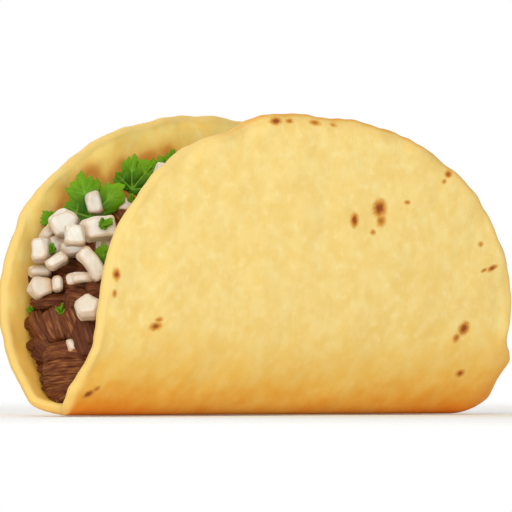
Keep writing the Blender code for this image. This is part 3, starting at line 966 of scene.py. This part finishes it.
def meatMaterial():
    material, tree, shader = newMaterial("shreddedMeat")
    fibre = attributeOf(tree, "fibre", "Vector")
    stretch = tree.nodes.new("ShaderNodeMapping")
    stretch.inputs["Scale"].default_value = (0.9, 5.0, 5.0)
    tree.links.new(fibre, stretch.inputs["Vector"])
    groove = attributeOf(tree, "groove")
    tone = attributeOf(tree, "tone")
    shine = attributeOf(tree, "shine")
    strands = noiseOf(tree, stretch.outputs["Vector"], 2.4, 2, 0.5)
    patches, grain = mottleOf(tree, fibre, 2.2, 14)
    fine = noiseOf(tree, stretch.outputs["Vector"], 7.0, 2, 0.5)
    base = tint(tree, colorOf(92, 42, 16), (118, 63, 26), strands, 0.30, 0.70)
    base = tint(tree, base, (106, 53, 21), fine, 0.35, 0.65, 0, 0.25)
    base = tint(tree, base, (92, 41, 16), patches, 0.45, 0.75, 0, 0.5)
    # painted highlight: tan streaks along the ridges, weaker in the grooves and on low-toned shreds
    light = productOf(
        tree, mapRange(tree, strands, 0.40, 0.72), shine,
        mapRange(tree, tone, -0.3, 0.4, 0.2, 1.0, False),
        mapRange(tree, groove, 0.0, 0.7, 0.9, 0.2),
    )
    base = mixColor(tree, light, base, colorOf(166, 108, 56))
    # darker for a low tone: painted shade on the core and the deeper shreds, and tone that differs
    # at random on the others
    base = tint(tree, base, (68, 27, 13), tone, -0.6, 0.1, 0.45, 0.0, False)
    # painted shade: darker in the grooves between strands
    base = tint(tree, base, (62, 25, 12), groove, 0.3, 1.0, 0, 0.6)
    tree.links.new(mapRange(tree, strands, 0.3, 0.7, 0.6, 0.44), shader.inputs["Roughness"])
    height = sumOf(tree, sumOf(tree, strands, fine, 0.25), grain, 0.2)
    dressShader(tree, shader, base, 0.2, height, 0.4, 0.35 * mm)
    return material


def makeMeatCore(material):
    core = mergedCopy("meat", "meatCore")
    core.data.remesh_voxel_size = meat["coreVoxel"]
    makeActive(core)
    bpy.ops.object.voxel_remesh()
    places = pointsOf(core)
    normals = normalsOf(core)
    streaks = places * np.array([0.35, 1, 1])
    relief = noiseAt(streaks, 2.6 * mm, 3.0)
    # the core keeps its width between the flaps, and draws in under the shreds at its ends and top
    shrink = meat["coreShrink"] * (1 - 0.8 * smooth(0.4, 0.85, np.abs(normals[:, 1])))
    raised = places + normals * (meat["coreRelief"] * relief - shrink)[:, None]
    setPoints(core, keepInBread(raised, meat["gap"]))
    setVectors(core, "fibre", places / (10 * mm))
    # painted shade in the core's low places
    setAttribute(core, "groove", np.clip(0.35 - relief, 0, 1))
    # painted shade: the core under the shreds is darker
    setAttribute(core, "tone", np.full(len(places), -0.45))
    setAttribute(core, "shine", np.zeros(len(places)))
    shadeSmooth(core)
    core.data.materials.append(material)
    finishPiece(core, "meat", "meat")
    print("meat core:", len(core.data.polygons), "faces")


def basisOn(normal, across, up, inward, turn):
    # a shred's own axes: along it, over its width, and out of the surface
    angle = math.radians(turn)
    flat = across * math.cos(angle) + up * math.sin(angle)
    facing = normal.dot(inward)
    slope = -flat.dot(normal) / facing if abs(facing) > 0.25 else 0
    slope = max(-0.8, min(0.8, 0.55 * slope))
    long = (flat + inward * slope).normalized()
    outward = (-inward * 0.6 + normal * 0.4).normalized()
    outward = (outward - long * outward.dot(long)).normalized()
    wide = outward.cross(long)
    return Matrix((long, wide, outward)).transposed(), (flat + inward * slope).length


def makeShreds(material):
    fine = plainShred(meat["fineSides"], meat["fineRings"])
    plain = plainShred(meat["plainSides"], meat["plainRings"])
    finePlaces, plainPlaces = pointsOf(fine), pointsOf(plain)
    kinds = shredKinds()
    surface = treeOf("meat", "tortilla", behind=0)
    top = treeOf("meat")
    random.seed(meat["seed"])

    pieces = []
    across, up, inward = endAxes(-1)
    for i, (a, h, turn, length, width, thick, proud, hook, tone) in enumerate(endShreds):
        start = across * a * mm + up * h * mm - inward * 0.2
        hit, normal, _, _ = surface.ray_cast(start, inward)
        basis, stretch = basisOn(normal, across, up, inward, turn)
        middle = hit - inward * (proud + 0.15 * thick) * mm
        pieces.append(layShred(
            fine, finePlaces, kinds[i % len(kinds)], length * stretch * mm, width * mm, thick * mm,
            hook, 0.10, tone, basis, middle,
        ))
    finishShreds(pieces, "meatShredsLeft", material)

    pieces = []
    across, up, inward = endAxes(1)
    for i in range(meat["farCount"]):
        height = meat["farFoot"] + meat["farRise"] * i / meat["farCount"]
        reach = random.uniform(*meat["farReach" if height > meat["farLow"] else "farLowReach"])
        start = across * reach * mm + up * height * mm - inward * 0.2
        hit, normal, _, _ = surface.ray_cast(start, inward)
        if hit is None or hit.x > meat["farLimit"]:
            continue
        basis, stretch = basisOn(normal, across, up, inward, random.gauss(0, meat["spread"]))
        width = random.uniform(*meat["farWidth"]) * mm
        middle = hit - inward * random.uniform(*meat["farSink"]) * mm
        length = random.uniform(*meat["farLength"]) * mm * stretch
        pieces.append(layShred(
            fine, finePlaces, kinds[i % len(kinds)], length, width, 0.65 * width,
            random.uniform(-0.15, 0.15), 0.10, random.uniform(-0.3, 0.4), basis, middle,
        ))
    finishShreds(pieces, "meatShredsRight", material)

    pieces = []
    for i in range(meat["topCount"]):
        place = randomPlace(meat["topAlong"], meat["topAcross"])
        hit, normal, _, _ = top.ray_cast(place, Vector((0, 0, -1)))
        if hit is None or normal.z < meat["topSteep"]:
            continue
        angle = math.radians(random.gauss(0, meat["spread"]))
        long = Vector((math.cos(angle), math.sin(angle), 0))
        long = (long - normal * long.dot(normal)).normalized()
        basis = Matrix((long, normal.cross(long), normal)).transposed()
        width = random.uniform(*meat["topWidth"])
        middle = hit + normal * random.uniform(*meat["topSink"]) * mm
        length = random.uniform(*meat["topLength"])
        pieces.append(layShred(
            plain, plainPlaces, kinds[i % len(kinds)], length, width, 0.6 * width,
            random.uniform(-0.15, 0.15), 0.12, random.uniform(-0.3, 0.35), basis, middle,
        ))
    finishShreds(pieces, "meatShredsTop", material)
    bpy.data.objects.remove(fine)
    bpy.data.objects.remove(plain)


def finishShreds(pieces, name, material):
    joined = joinAll(pieces, name)
    joined.data.materials.append(material)
    finishPiece(joined, "meat")
    print(name, len(joined.data.polygons), "faces")


meatFinish = meatMaterial()
makeMeatCore(meatFinish)
makeShreds(meatFinish)


# onion dice

onion = {
    "voxel": 0.28 * mm, "softPasses": 5, "swell": 0.15 * mm,
    "wobble": 0.35 * mm, "wobbleSize": 3.0 * mm,
    "facets": 7, "facetDepth": (0.03, 0.22), "eggs": ("onion_on_leaf",),
    "edgePasses": 14, "edgePull": 0.09 * mm,
    "crowdShadeReach": 1.7 * mm,
    "unshadedHeight": 62 * mm, "shadeDepth": 34 * mm,
    "seed": 23,
}

# how dice at the near end sit beside their places in the model: aside, upward and towards the
# viewer (mm), wider, taller, turn in degrees, and how much browner with painted shade
onionFits = {
    "onion_peek": (1.3, 0.1, 0, 0.76, 0.7, 10, 0.2),
    "onion_shaded_top": (-0.4, -1.4, 0, 0.8, 0.7, 8, 0.8),
    "onion_behind": (0.7, -0.2, 0, 0.85, 0.85, 0, 0.5),
    "onion_sliver": (0.4, 0.3, 0, 0.86, 0.9, -6, 0.25),
    "onion_tall": (0, 0, 0.4, 0.96, 0.94, 2, 0.1),
    "onion_flat": (-0.9, 0.5, 5.6, 1.2, 1.25, 0, -0.2),
    "onion_low": (0.1, -0.5, 1.0, 0.98, 0.86, 6, 0.15),
    "onion_tucked": (0.2, 0.5, 2.6, 1.12, 1.05, 0, -0.1),
    "onion_square": (-0.1, 0, 0.4, 0.92, 0.9, 4, -0.1), "onion_big": (0.9, 0, 0, 1.1, 1.02, -22, 0),
    "onion_strip": (0.5, 0.2, 0.3, 1.06, 0.8, -2, 0.0),
    "onion_curved": (0, 0.5, 0, 0.95, 0.98, 0, 0.0),
    "onion_wedge": (1.1, 0.7, 0.4, 1.06, 0.95, 8, 0.4),
    "onion_corner": (0.3, 0, 0.2, 1.03, 0.98, -6, 0.4),
    "onion_small": (0.3, 0, 0.2, 0.92, 0.94, 0, 0.0),
    "onion_round": (0.3, 0.4, 0, 1.02, 0.98, 38, 0.0),
    "onion_on_leaf": (0, 0, 0, 0.96, 0.98, 4, -0.1), "onion_slab": (0, 0, 0, 1.02, 1.0, 0, 0.05),
}


def fitOnion(places, middle, name):
    aside, upward, toward, wider, taller, turn, _ = onionFits.get(name, (0, 0, 0, 1, 1, 0, 0))
    across, up, inward = (np.array(axis) for axis in endAxes(-1))
    away = places - middle
    x, z, y = away @ across, away @ up, away @ inward
    angle = math.radians(turn)
    x, z = x * wider, z * taller
    x, z = x * math.cos(angle) - z * math.sin(angle), x * math.sin(angle) + z * math.cos(angle)
    moved = np.outer(x + aside * mm, across) + np.outer(z + upward * mm, up)
    return middle + (moved + np.outer(y - toward * mm, inward))


def isClosed(mesh):
    edges = np.empty(len(mesh.loops), np.int32)
    mesh.loops.foreach_get("edge_index", edges)
    return len(edges) > 0 and (np.bincount(edges, minlength=len(mesh.edges)) == 2).all()


def cutFacets(piece):
    # knife cuts leave dice with slanted faces; a cut that would leave a hole isn't kept
    places = pointsOf(piece)
    middle = places.mean(0)
    for _ in range(onion["facets"]):
        way = Vector([random.gauss(0, 1) for _ in range(3)]).normalized()
        reach = ((places - middle) @ np.array(way)).max()
        depth = reach * (1 - random.uniform(*onion["facetDepth"]))
        uncut = piece.data.copy()
        editAll(
            bpy.ops.mesh.bisect, plane_co=Vector(middle) + way * depth, plane_no=way,
            use_fill=True, clear_outer=True,
        )
        spare = uncut
        if not isClosed(piece.data):
            spare = piece.data
            piece.data = uncut
        bpy.data.meshes.remove(spare)


def boxesNear(first, second, reach):
    (lowA, highA), (lowB, highB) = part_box(first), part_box(second)
    return all(lowA[i] - reach < highB[i] and lowB[i] - reach < highA[i] for i in range(3))


def onionMaterial():
    material, tree, shader = newMaterial("onionFlesh")
    own = attributeOf(tree, "own", "Vector")
    crowd = attributeOf(tree, "crowd")
    edgeShade = attributeOf(tree, "rounded")
    tone = attributeOf(tree, "tone")
    layers = tree.nodes.new("ShaderNodeTexWave")
    layers.wave_type = "RINGS"
    layers.rings_direction = "X"
    layers.inputs["Scale"].default_value = 2.4
    layers.inputs["Distortion"].default_value = 1.2
    layers.inputs["Detail"].default_value = 2
    layers.inputs["Detail Scale"].default_value = 1.5
    tree.links.new(own, layers.inputs["Vector"])
    rings = layers.outputs["Fac"]
    patches, grain = mottleOf(tree, own, 3.0, 26)
    base = tint(tree, colorOf(230, 230, 223), (221, 216, 202), patches, 0.35, 0.7)
    base = tint(tree, base, (220, 207, 186), rings, 0.3, 0.9, 0, 0.2)
    # tan for a high tone: painted shade on the lower and listed dice, partly random
    base = tint(tree, base, (212, 187, 156), tone, 0, 1, 0, 0.55, False)
    # painted shade on the rounded edges
    base = tint(tree, base, (203, 171, 134), edgeShade, 0.15, 0.95, 0, 0.8)
    # painted shade on the down-facing sides
    base = tint(tree, base, (196, 162, 124), attributeOf(tree, "under"), 0.3, 1.0, 0, 0.7)
    # painted shade where pieces meet
    base = tint(tree, base, (198, 160, 122), crowd, 0.0, 0.9, 0, 0.9)
    shader.inputs["Roughness"].default_value = 0.34
    shader.inputs["Subsurface Weight"].default_value = 0.25
    shader.inputs["Subsurface Radius"].default_value = (1.0, 0.85, 0.6)
    shader.inputs["Subsurface Scale"].default_value = 1.2 * mm
    dressShader(tree, shader, base, 0.4, sumOf(tree, grain, rings, 0.6), 0.22, 0.25 * mm)
    return material


def makeOnions():
    material = onionMaterial()
    random.seed(onion["seed"])
    names = sorted(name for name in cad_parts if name.startswith("onion"))
    trees = {name: treeOf(name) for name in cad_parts}
    faces = 0
    for name in names:
        piece = mergedCopy(name, "piece_" + name)
        makeActive(piece)
        cutFacets(piece)
        piece.data.remesh_voxel_size = onion["voxel"]
        bpy.ops.object.voxel_remesh()
        passes = onion["softPasses"] * (4 if name in onion["eggs"] else 1)
        applyModifier(piece, "SMOOTH", factor=0.5, iterations=passes)
        places = pointsOf(piece)
        # an edge is where more smoothing would pull the surface in, and gets painted shade
        applyModifier(piece, "SMOOTH", factor=0.5, iterations=onion["edgePasses"])
        pulled = np.linalg.norm(places - pointsOf(piece), axis=1)
        setPoints(piece, places)
        normals = normalsOf(piece)
        middle = places.mean(0)
        seed = random.uniform(0, 40)
        bumps = noiseAt(places, onion["wobbleSize"], seed)
        places = places + normals * (onion["swell"] + onion["wobble"] * bumps)[:, None]
        places = fitOnion(places, middle, name)
        setPoints(piece, places)
        turn = Euler([random.uniform(0, 2 * math.pi) for _ in range(3)]).to_matrix()
        own = (places - middle) @ np.array(turn) / (10 * mm)
        own += np.array([random.uniform(0.15, 0.4), 0, 0]) + (0, seed * 0.1, 0)
        setVectors(piece, "own", own)
        # painted shade where a die comes near another piece
        crowd = np.zeros(len(places))
        for other, tree in trees.items():
            if other != name and boxesNear(name, other, onion["crowdShadeReach"]):
                crowd = np.maximum(crowd, fadeFrom(tree, places, onion["crowdShadeReach"]))
        setAttribute(piece, "crowd", crowd)
        setAttribute(piece, "rounded", np.clip(pulled / onion["edgePull"], 0, 1))
        # painted shade: lower dice are tan, with some random tone
        tanShade = (onion["unshadedHeight"] - middle[2]) / onion["shadeDepth"]
        extraShade = onionFits.get(name, (0,))[-1]
        tanShade = min(1, max(0, 0.6 * tanShade) + 0.3 * random.random() ** 2 + extraShade)
        setAttribute(piece, "tone", np.full(len(places), tanShade))
        # painted shade: sides and undersides facing down are tan
        setAttribute(piece, "under", np.clip(0.4 - 0.6 * normals[:, 2], 0, 1))
        shadeSmooth(piece)
        piece.data.materials.append(material)
        finishPiece(piece, "onion", name)
        faces += len(piece.data.polygons)
    print("onion dice:", len(names), "with", faces, "faces")


makeOnions()


# loose onion crumbs on the filling

onionCrumbs = {
    "count": 46, "size": (0.7 * mm, 1.5 * mm), "roundness": 0.35, "cuts": 5,
    "along": 56, "across": 13, "seed": 61,
}


def onFilling(place):
    # where a fall from the place lands on the filling, with the way it faces there;
    # nothing where it is too steep or against the bread
    hit, normal, _, _ = fillingTop.ray_cast(place, Vector((0, 0, -1)))
    if hit is None or normal.z < 0.2:
        return None, None
    near, _, _, away = breadInside.find_nearest(hit, 3 * mm)
    return (None, None) if near is not None and away < 2 * mm else (hit, normal)


def makeOnionCrumbs():
    selectNone()
    random.seed(onionCrumbs["seed"])
    bpy.ops.mesh.primitive_cube_add(size=2)
    pattern = bpy.context.object
    editAll(bpy.ops.mesh.subdivide, number_cuts=onionCrumbs["cuts"])
    cube = pointsOf(pattern)
    ball = cube / np.linalg.norm(cube, axis=1)[:, None]
    cube = cube * (1 - onionCrumbs["roundness"]) + ball * onionCrumbs["roundness"] * 1.1
    crumbs = []
    while len(crumbs) < onionCrumbs["count"]:
        hit, normal = onFilling(randomPlace(onionCrumbs["along"], onionCrumbs["across"]))
        if hit is None:
            continue
        size = random.uniform(*onionCrumbs["size"])
        shape = cube * [size * random.uniform(0.7, 1.5), size, size * random.uniform(0.5, 1)]
        shape[:, 0] *= 1 + 0.25 * random.uniform(-1, 1) * cube[:, 1]
        shape[:, 1] *= 1 + 0.3 * random.uniform(-1, 1) * cube[:, 0]
        turn = randomTurnOn(normal)
        tip = Matrix.Rotation(random.uniform(-0.6, 0.6), 3, "X")
        turned = shape @ np.array(turn @ tip).T
        piece = copyOf(pattern, "crumb")
        setPoints(piece, turned + np.array(hit + normal * size * 0.3))
        setVectors(piece, "own", shape / (10 * mm) + random.uniform(0, 4))
        away = np.linalg.norm(cube, axis=1)
        # crumbs get painted shade on their rounded edges, a random tone, and no shade where pieces
        # meet or facing down
        for name, values in (
            ("crowd", np.zeros(len(cube))), ("rounded", smooth(1.0, 1.6, away)),
            ("tone", np.full(len(cube), random.uniform(0, 0.5))), ("under", np.zeros(len(cube))),
        ):
            setAttribute(piece, name, values)
        shadeSmooth(piece)
        crumbs.append(piece)
    joined = joinAll(crumbs, "onionCrumbs")
    joined.data.materials.append(bpy.data.materials["onionFlesh"])
    finishPiece(joined, "onion")
    bpy.data.objects.remove(pattern)
    print("onion crumbs:", len(crumbs), "with", len(joined.data.polygons), "faces")


fillingTop = treeOf(*[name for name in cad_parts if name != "tortilla"])
makeOnionCrumbs()


# cilantro

cilantro = {
    "cells": 68, "thickness": 0.32 * mm,
    "ripple": 0.5 * mm, "sunkVein": 0.45 * mm, "veinWidth": 0.045,
    # each lobe: turn from the tip (degrees), length over half width, how many teeth,
    # their spread (degrees), tooth size
    "kinds": {
        "spread": (
            (-70, 1.02, 4, 56, 0.15), (-12, 1.58, 5, 46, 0.14), (44, 1.58, 5, 30, 0.14),
            (80, 0.75, 2, 20, 0.15),
        ),
        "fan": (
            (-66, 1.05, 3, 36, 0.13), (-24, 1.50, 4, 32, 0.13), (14, 1.62, 5, 38, 0.12),
            (60, 1.25, 4, 40, 0.13),
        ),
        "small": ((-62, 0.95, 3, 40, 0.18), (-6, 1.50, 4, 44, 0.17), (54, 1.15, 3, 44, 0.18)),
        "dart": ((-40, 0.95, 2, 14, 0.16), (4, 1.65, 2, 16, 0.17), (46, 0.85, 2, 14, 0.16)),
        "heart": ((-44, 1.15, 2, 20, 0.24), (16, 1.6, 2, 22, 0.24)),
    },
    "serration": 0.035, "serrations": 38,
    "looseBits": 34, "looseAlong": 56, "looseAcross": 13, "looseWidth": (1.1, 2.2), "bitLean": 18,
    "seed": 31,
}


def leafTeeth(kind):
    # the discs that a leaf's outline is drawn round, and its veins as lines, both about its base
    discs = [(0, 0.12, 0.24)]
    veins = []

    def atTurn(turn, length):
        return length * math.sin(math.radians(turn)), length * math.cos(math.radians(turn))

    for turn, length, teeth, spread, size in cilantro["kinds"][kind]:
        root = atTurn(turn, 0.52 * length)
        discs.append((*root, 0.36 * length * math.sqrt(spread / 45)))
        discs.append((*atTurn(turn, 0.28 * length), 0.26 * length))
        veins.append(((0, 0), root))
        for i in range(teeth):
            share = 2 * i / (teeth - 1) - 1
            reach = length * (1 - 0.17 * share * share + 0.04 * (-1) ** i)
            tip = atTurn(turn + spread / 2 * share, reach - size)
            discs.append((*tip, size))
            discs.append((0.4 * root[0] + 0.6 * tip[0], 0.4 * root[1] + 0.6 * tip[1], 1.25 * size))
            veins.append((root, tip))
    return discs, veins


def leafOutline(discs, angle):
    # how far the outline is from the base, each way round
    radius = np.full_like(angle, 0.2)
    dx, dz = np.sin(np.radians(angle)), np.cos(np.radians(angle))
    for x, z, size in discs:
        along = x * dx + z * dz
        room = size * size - (x * x + z * z - along * along)
        radius = np.maximum(radius, np.where(room > 0, along + np.sqrt(np.clip(room, 0, None)), 0))
    teeth = np.abs(np.sin(np.radians(angle) * cilantro["serrations"] / 2))
    return radius * (1 + cilantro["serration"] * (1 - 2 * teeth) * smooth(0.3, 0.8, radius))


def veinNearness(veins, x, z):
    away = np.full_like(x, 9.0)
    for (ax, az), (bx, bz) in veins:
        vx, vz = bx - ax, bz - az
        share = np.clip(((x - ax) * vx + (z - az) * vz) / (vx * vx + vz * vz), 0, 1)
        away = np.minimum(away, np.hypot(x - ax - share * vx, z - az - share * vz))
    return away


def makeLeaf(name, kind, halfWidth, placing, seed, share=1):
    # the leaf's face looks along -Y and its tip points up in its own axes
    selectNone()
    cells = int(cilantro["cells"] * share)
    bpy.ops.mesh.primitive_grid_add(x_subdivisions=cells, y_subdivisions=cells, size=2)
    piece = bpy.context.object
    piece.name = name
    square = pointsOf(piece)
    u, v = square[:, 0], square[:, 1]
    discX, discY = u * np.sqrt(1 - v * v / 2), v * np.sqrt(1 - u * u / 2)
    angle = np.degrees(np.arctan2(discX, discY))
    away = np.hypot(discX, discY)
    discs, veins = leafTeeth(kind)
    radius = leafOutline(discs, angle)
    x = away * radius * np.sin(np.radians(angle))
    z = away * radius * np.cos(np.radians(angle))
    fromVein = veinNearness(veins, x, z)
    height = cilantro["sunkVein"] * smooth(0, 0.22, fromVein) * (1 - away ** 6)
    height += cilantro["ripple"] * np.sin(np.radians(angle) * 6 + seed) * away ** 2
    height -= 0.12 * x * x * halfWidth
    middle = (x.min() + x.max()) / 2, (z.min() + z.max()) / 2
    size = halfWidth / ((x.max() - x.min()) / 2)
    setPoints(piece, np.stack([(x - middle[0]) * size, (z - middle[1]) * size, height], 1))
    applyModifier(piece, "SOLIDIFY", thickness=cilantro["thickness"], offset=0)
    local = pointsOf(piece)
    turned = np.stack([local[:, 0], -local[:, 2], local[:, 1]], 1)
    places = turned @ np.array(placing.to_3x3()).T + np.array(placing.translation)
    setPoints(piece, places)
    vein = np.exp(-((fromVein / cilantro["veinWidth"]) ** 2)) * (1 - away ** 3)
    setAttribute(piece, "vein", np.concatenate([vein, vein]))
    # painted shade: darker towards the leaf's base, lighter at its tips; small bits stay light
    outward = np.clip(np.hypot(x, z) / 1.6, 0 if halfWidth > 3 * mm else 0.6, 1)
    setAttribute(piece, "outward", np.concatenate([outward, outward]))
    setVectors(piece, "own", local / (10 * mm) + seed)
    shadeSmooth(piece)
    return piece


def leafMaterial():
    material, tree, shader = newMaterial("cilantroLeaf")
    own = attributeOf(tree, "own", "Vector")
    vein = attributeOf(tree, "vein")
    outward = attributeOf(tree, "outward")
    patches, grain = mottleOf(tree, own, 3.5, 22)
    # painted shade: dark green at the base, bright green at the tips
    base = tint(tree, colorOf(40, 82, 2), (112, 160, 16), outward, 0.15, 0.95)
    base = tint(tree, base, (82, 132, 8), patches, 0.4, 0.7, 0, 0.55)
    base = tint(tree, base, (60, 108, 10), grain, 0.45, 0.7, 0, 0.25)
    base = tint(tree, base, (136, 184, 52), vein, 0.2, 0.9, 0, 0.5)
    shader.inputs["Roughness"].default_value = 0.5
    dressShader(tree, shader, base, 0.12, sumOf(tree, grain, vein, -1.5), 0.35, 0.25 * mm)
    return material


# the leaves as the model lays them: kind, side (-1 left, 0 top, 1 right), half width (mm),
# turn, lean, and how far (mm) each lies from the middle of its place there, across and up
leaves = {
    "leaf_third": ("fan", -1, 5.2, 16, 4, 0, -1.6),
    "leaf_second": ("fan", -1, 6.6, -24, 6, 0.4, -1.4),
    "leaf_big": ("spread", -1, 8.3, 2, 10, 0.5, -2.3),
    "leaf_left": ("small", -1, 3.6, 48, 12, 0.8, -0.5),
    "leaf_edge": ("small", -1, 4.0, 10, 8, 0, 0),
    "leaf_r1": ("fan", 1, 7.2, -14, 12, 0, 0), "leaf_r2": ("small", 1, 5.0, 34, 10, 0, 0),
    "leaf_t1": ("spread", 0, 7.4, 30, 12, 0, 0), "leaf_t2": ("fan", 0, 7.0, 160, -14, 0, 0),
    "leaf_t3": ("fan", 0, 6.4, 250, 10, 0, 0), "leaf_t4": ("spread", 0, 6.6, 95, 8, 0, 0),
}

# torn bits of leaf on the filling at the left end: kind, across, up, turn, half width and
# how proud (mm)
leafBits = (
    ("dart", -39.6, 50.9, -62, 1.6, 1.3), ("heart", -54.2, 44.0, 40, 1.5, 1.6),
    ("heart", -51.3, 28.2, -10, 1.6, 3.0), ("heart", -59.5, 27.5, 75, 1.3, 3.0),
    ("dart", -33.0, 57.4, 10, 1.0, 1.2),
)


def turnAtEnd(side, lean, turn):
    local = Euler((math.radians(-lean), math.radians(-turn), 0)).to_matrix()
    return Matrix.Rotation(math.radians(side * pushAngle), 3, "Z") @ local


def makeLeaves():
    material = leafMaterial()
    random.seed(cilantro["seed"])
    for name, (kind, side, halfWidth, turn, lean, aside, upward) in leaves.items():
        low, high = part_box(name)
        middle = (Vector(low) + Vector(high)) / 2
        if side:
            across, up, _ = endAxes(side)
            middle += across * aside * mm + up * upward * mm
            local = turnAtEnd(side, lean, turn)
        else:
            local = Euler([math.radians(angle) for angle in (-80 + lean, lean, turn)]).to_matrix()
        placing = Matrix.Translation(middle) @ local.to_4x4()
        piece = makeLeaf("cilantro_" + name, kind, halfWidth * mm, placing, random.uniform(0, 6))
        piece.data.materials.append(material)
        finishPiece(piece, "leaf", name)

    across, up, inward = endAxes(-1)
    surface = treeOf(*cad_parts, behind=0)
    bits = []
    for kind, a, h, turn, halfWidth, proud in leafBits:
        start = across * a * mm + up * h * mm - inward * 0.2
        hit, normal, _, _ = surface.ray_cast(start, inward)
        local = turnAtEnd(-1, cilantro["bitLean"], turn)
        placing = Matrix.Translation(hit - inward * proud * mm) @ local.to_4x4()
        bits.append(makeLeaf("leafBit", kind, halfWidth * mm, placing, random.uniform(0, 6), 0.5))
    while len(bits) < len(leafBits) + cilantro["looseBits"]:
        hit, normal = onFilling(randomPlace(cilantro["looseAlong"], cilantro["looseAcross"]))
        if hit is None:
            continue
        turn = randomTurnOn(normal)
        flat = turn @ Matrix.Rotation(math.radians(random.uniform(-110, -75)), 3, "X")
        placing = Matrix.Translation(hit + normal * 0.7 * mm) @ flat.to_4x4()
        kind = random.choice(("dart", "heart", "small"))
        width = random.uniform(*cilantro["looseWidth"]) * mm
        bits.append(makeLeaf("leafBit", kind, width, placing, random.uniform(0, 6), 0.3))
    joined = joinAll(bits, "cilantroBits")
    joined.data.materials.append(material)
    finishPiece(joined, "leaf")
    print("cilantro leaves:", len(leaves), "and", len(bits), "bits")


makeLeaves()
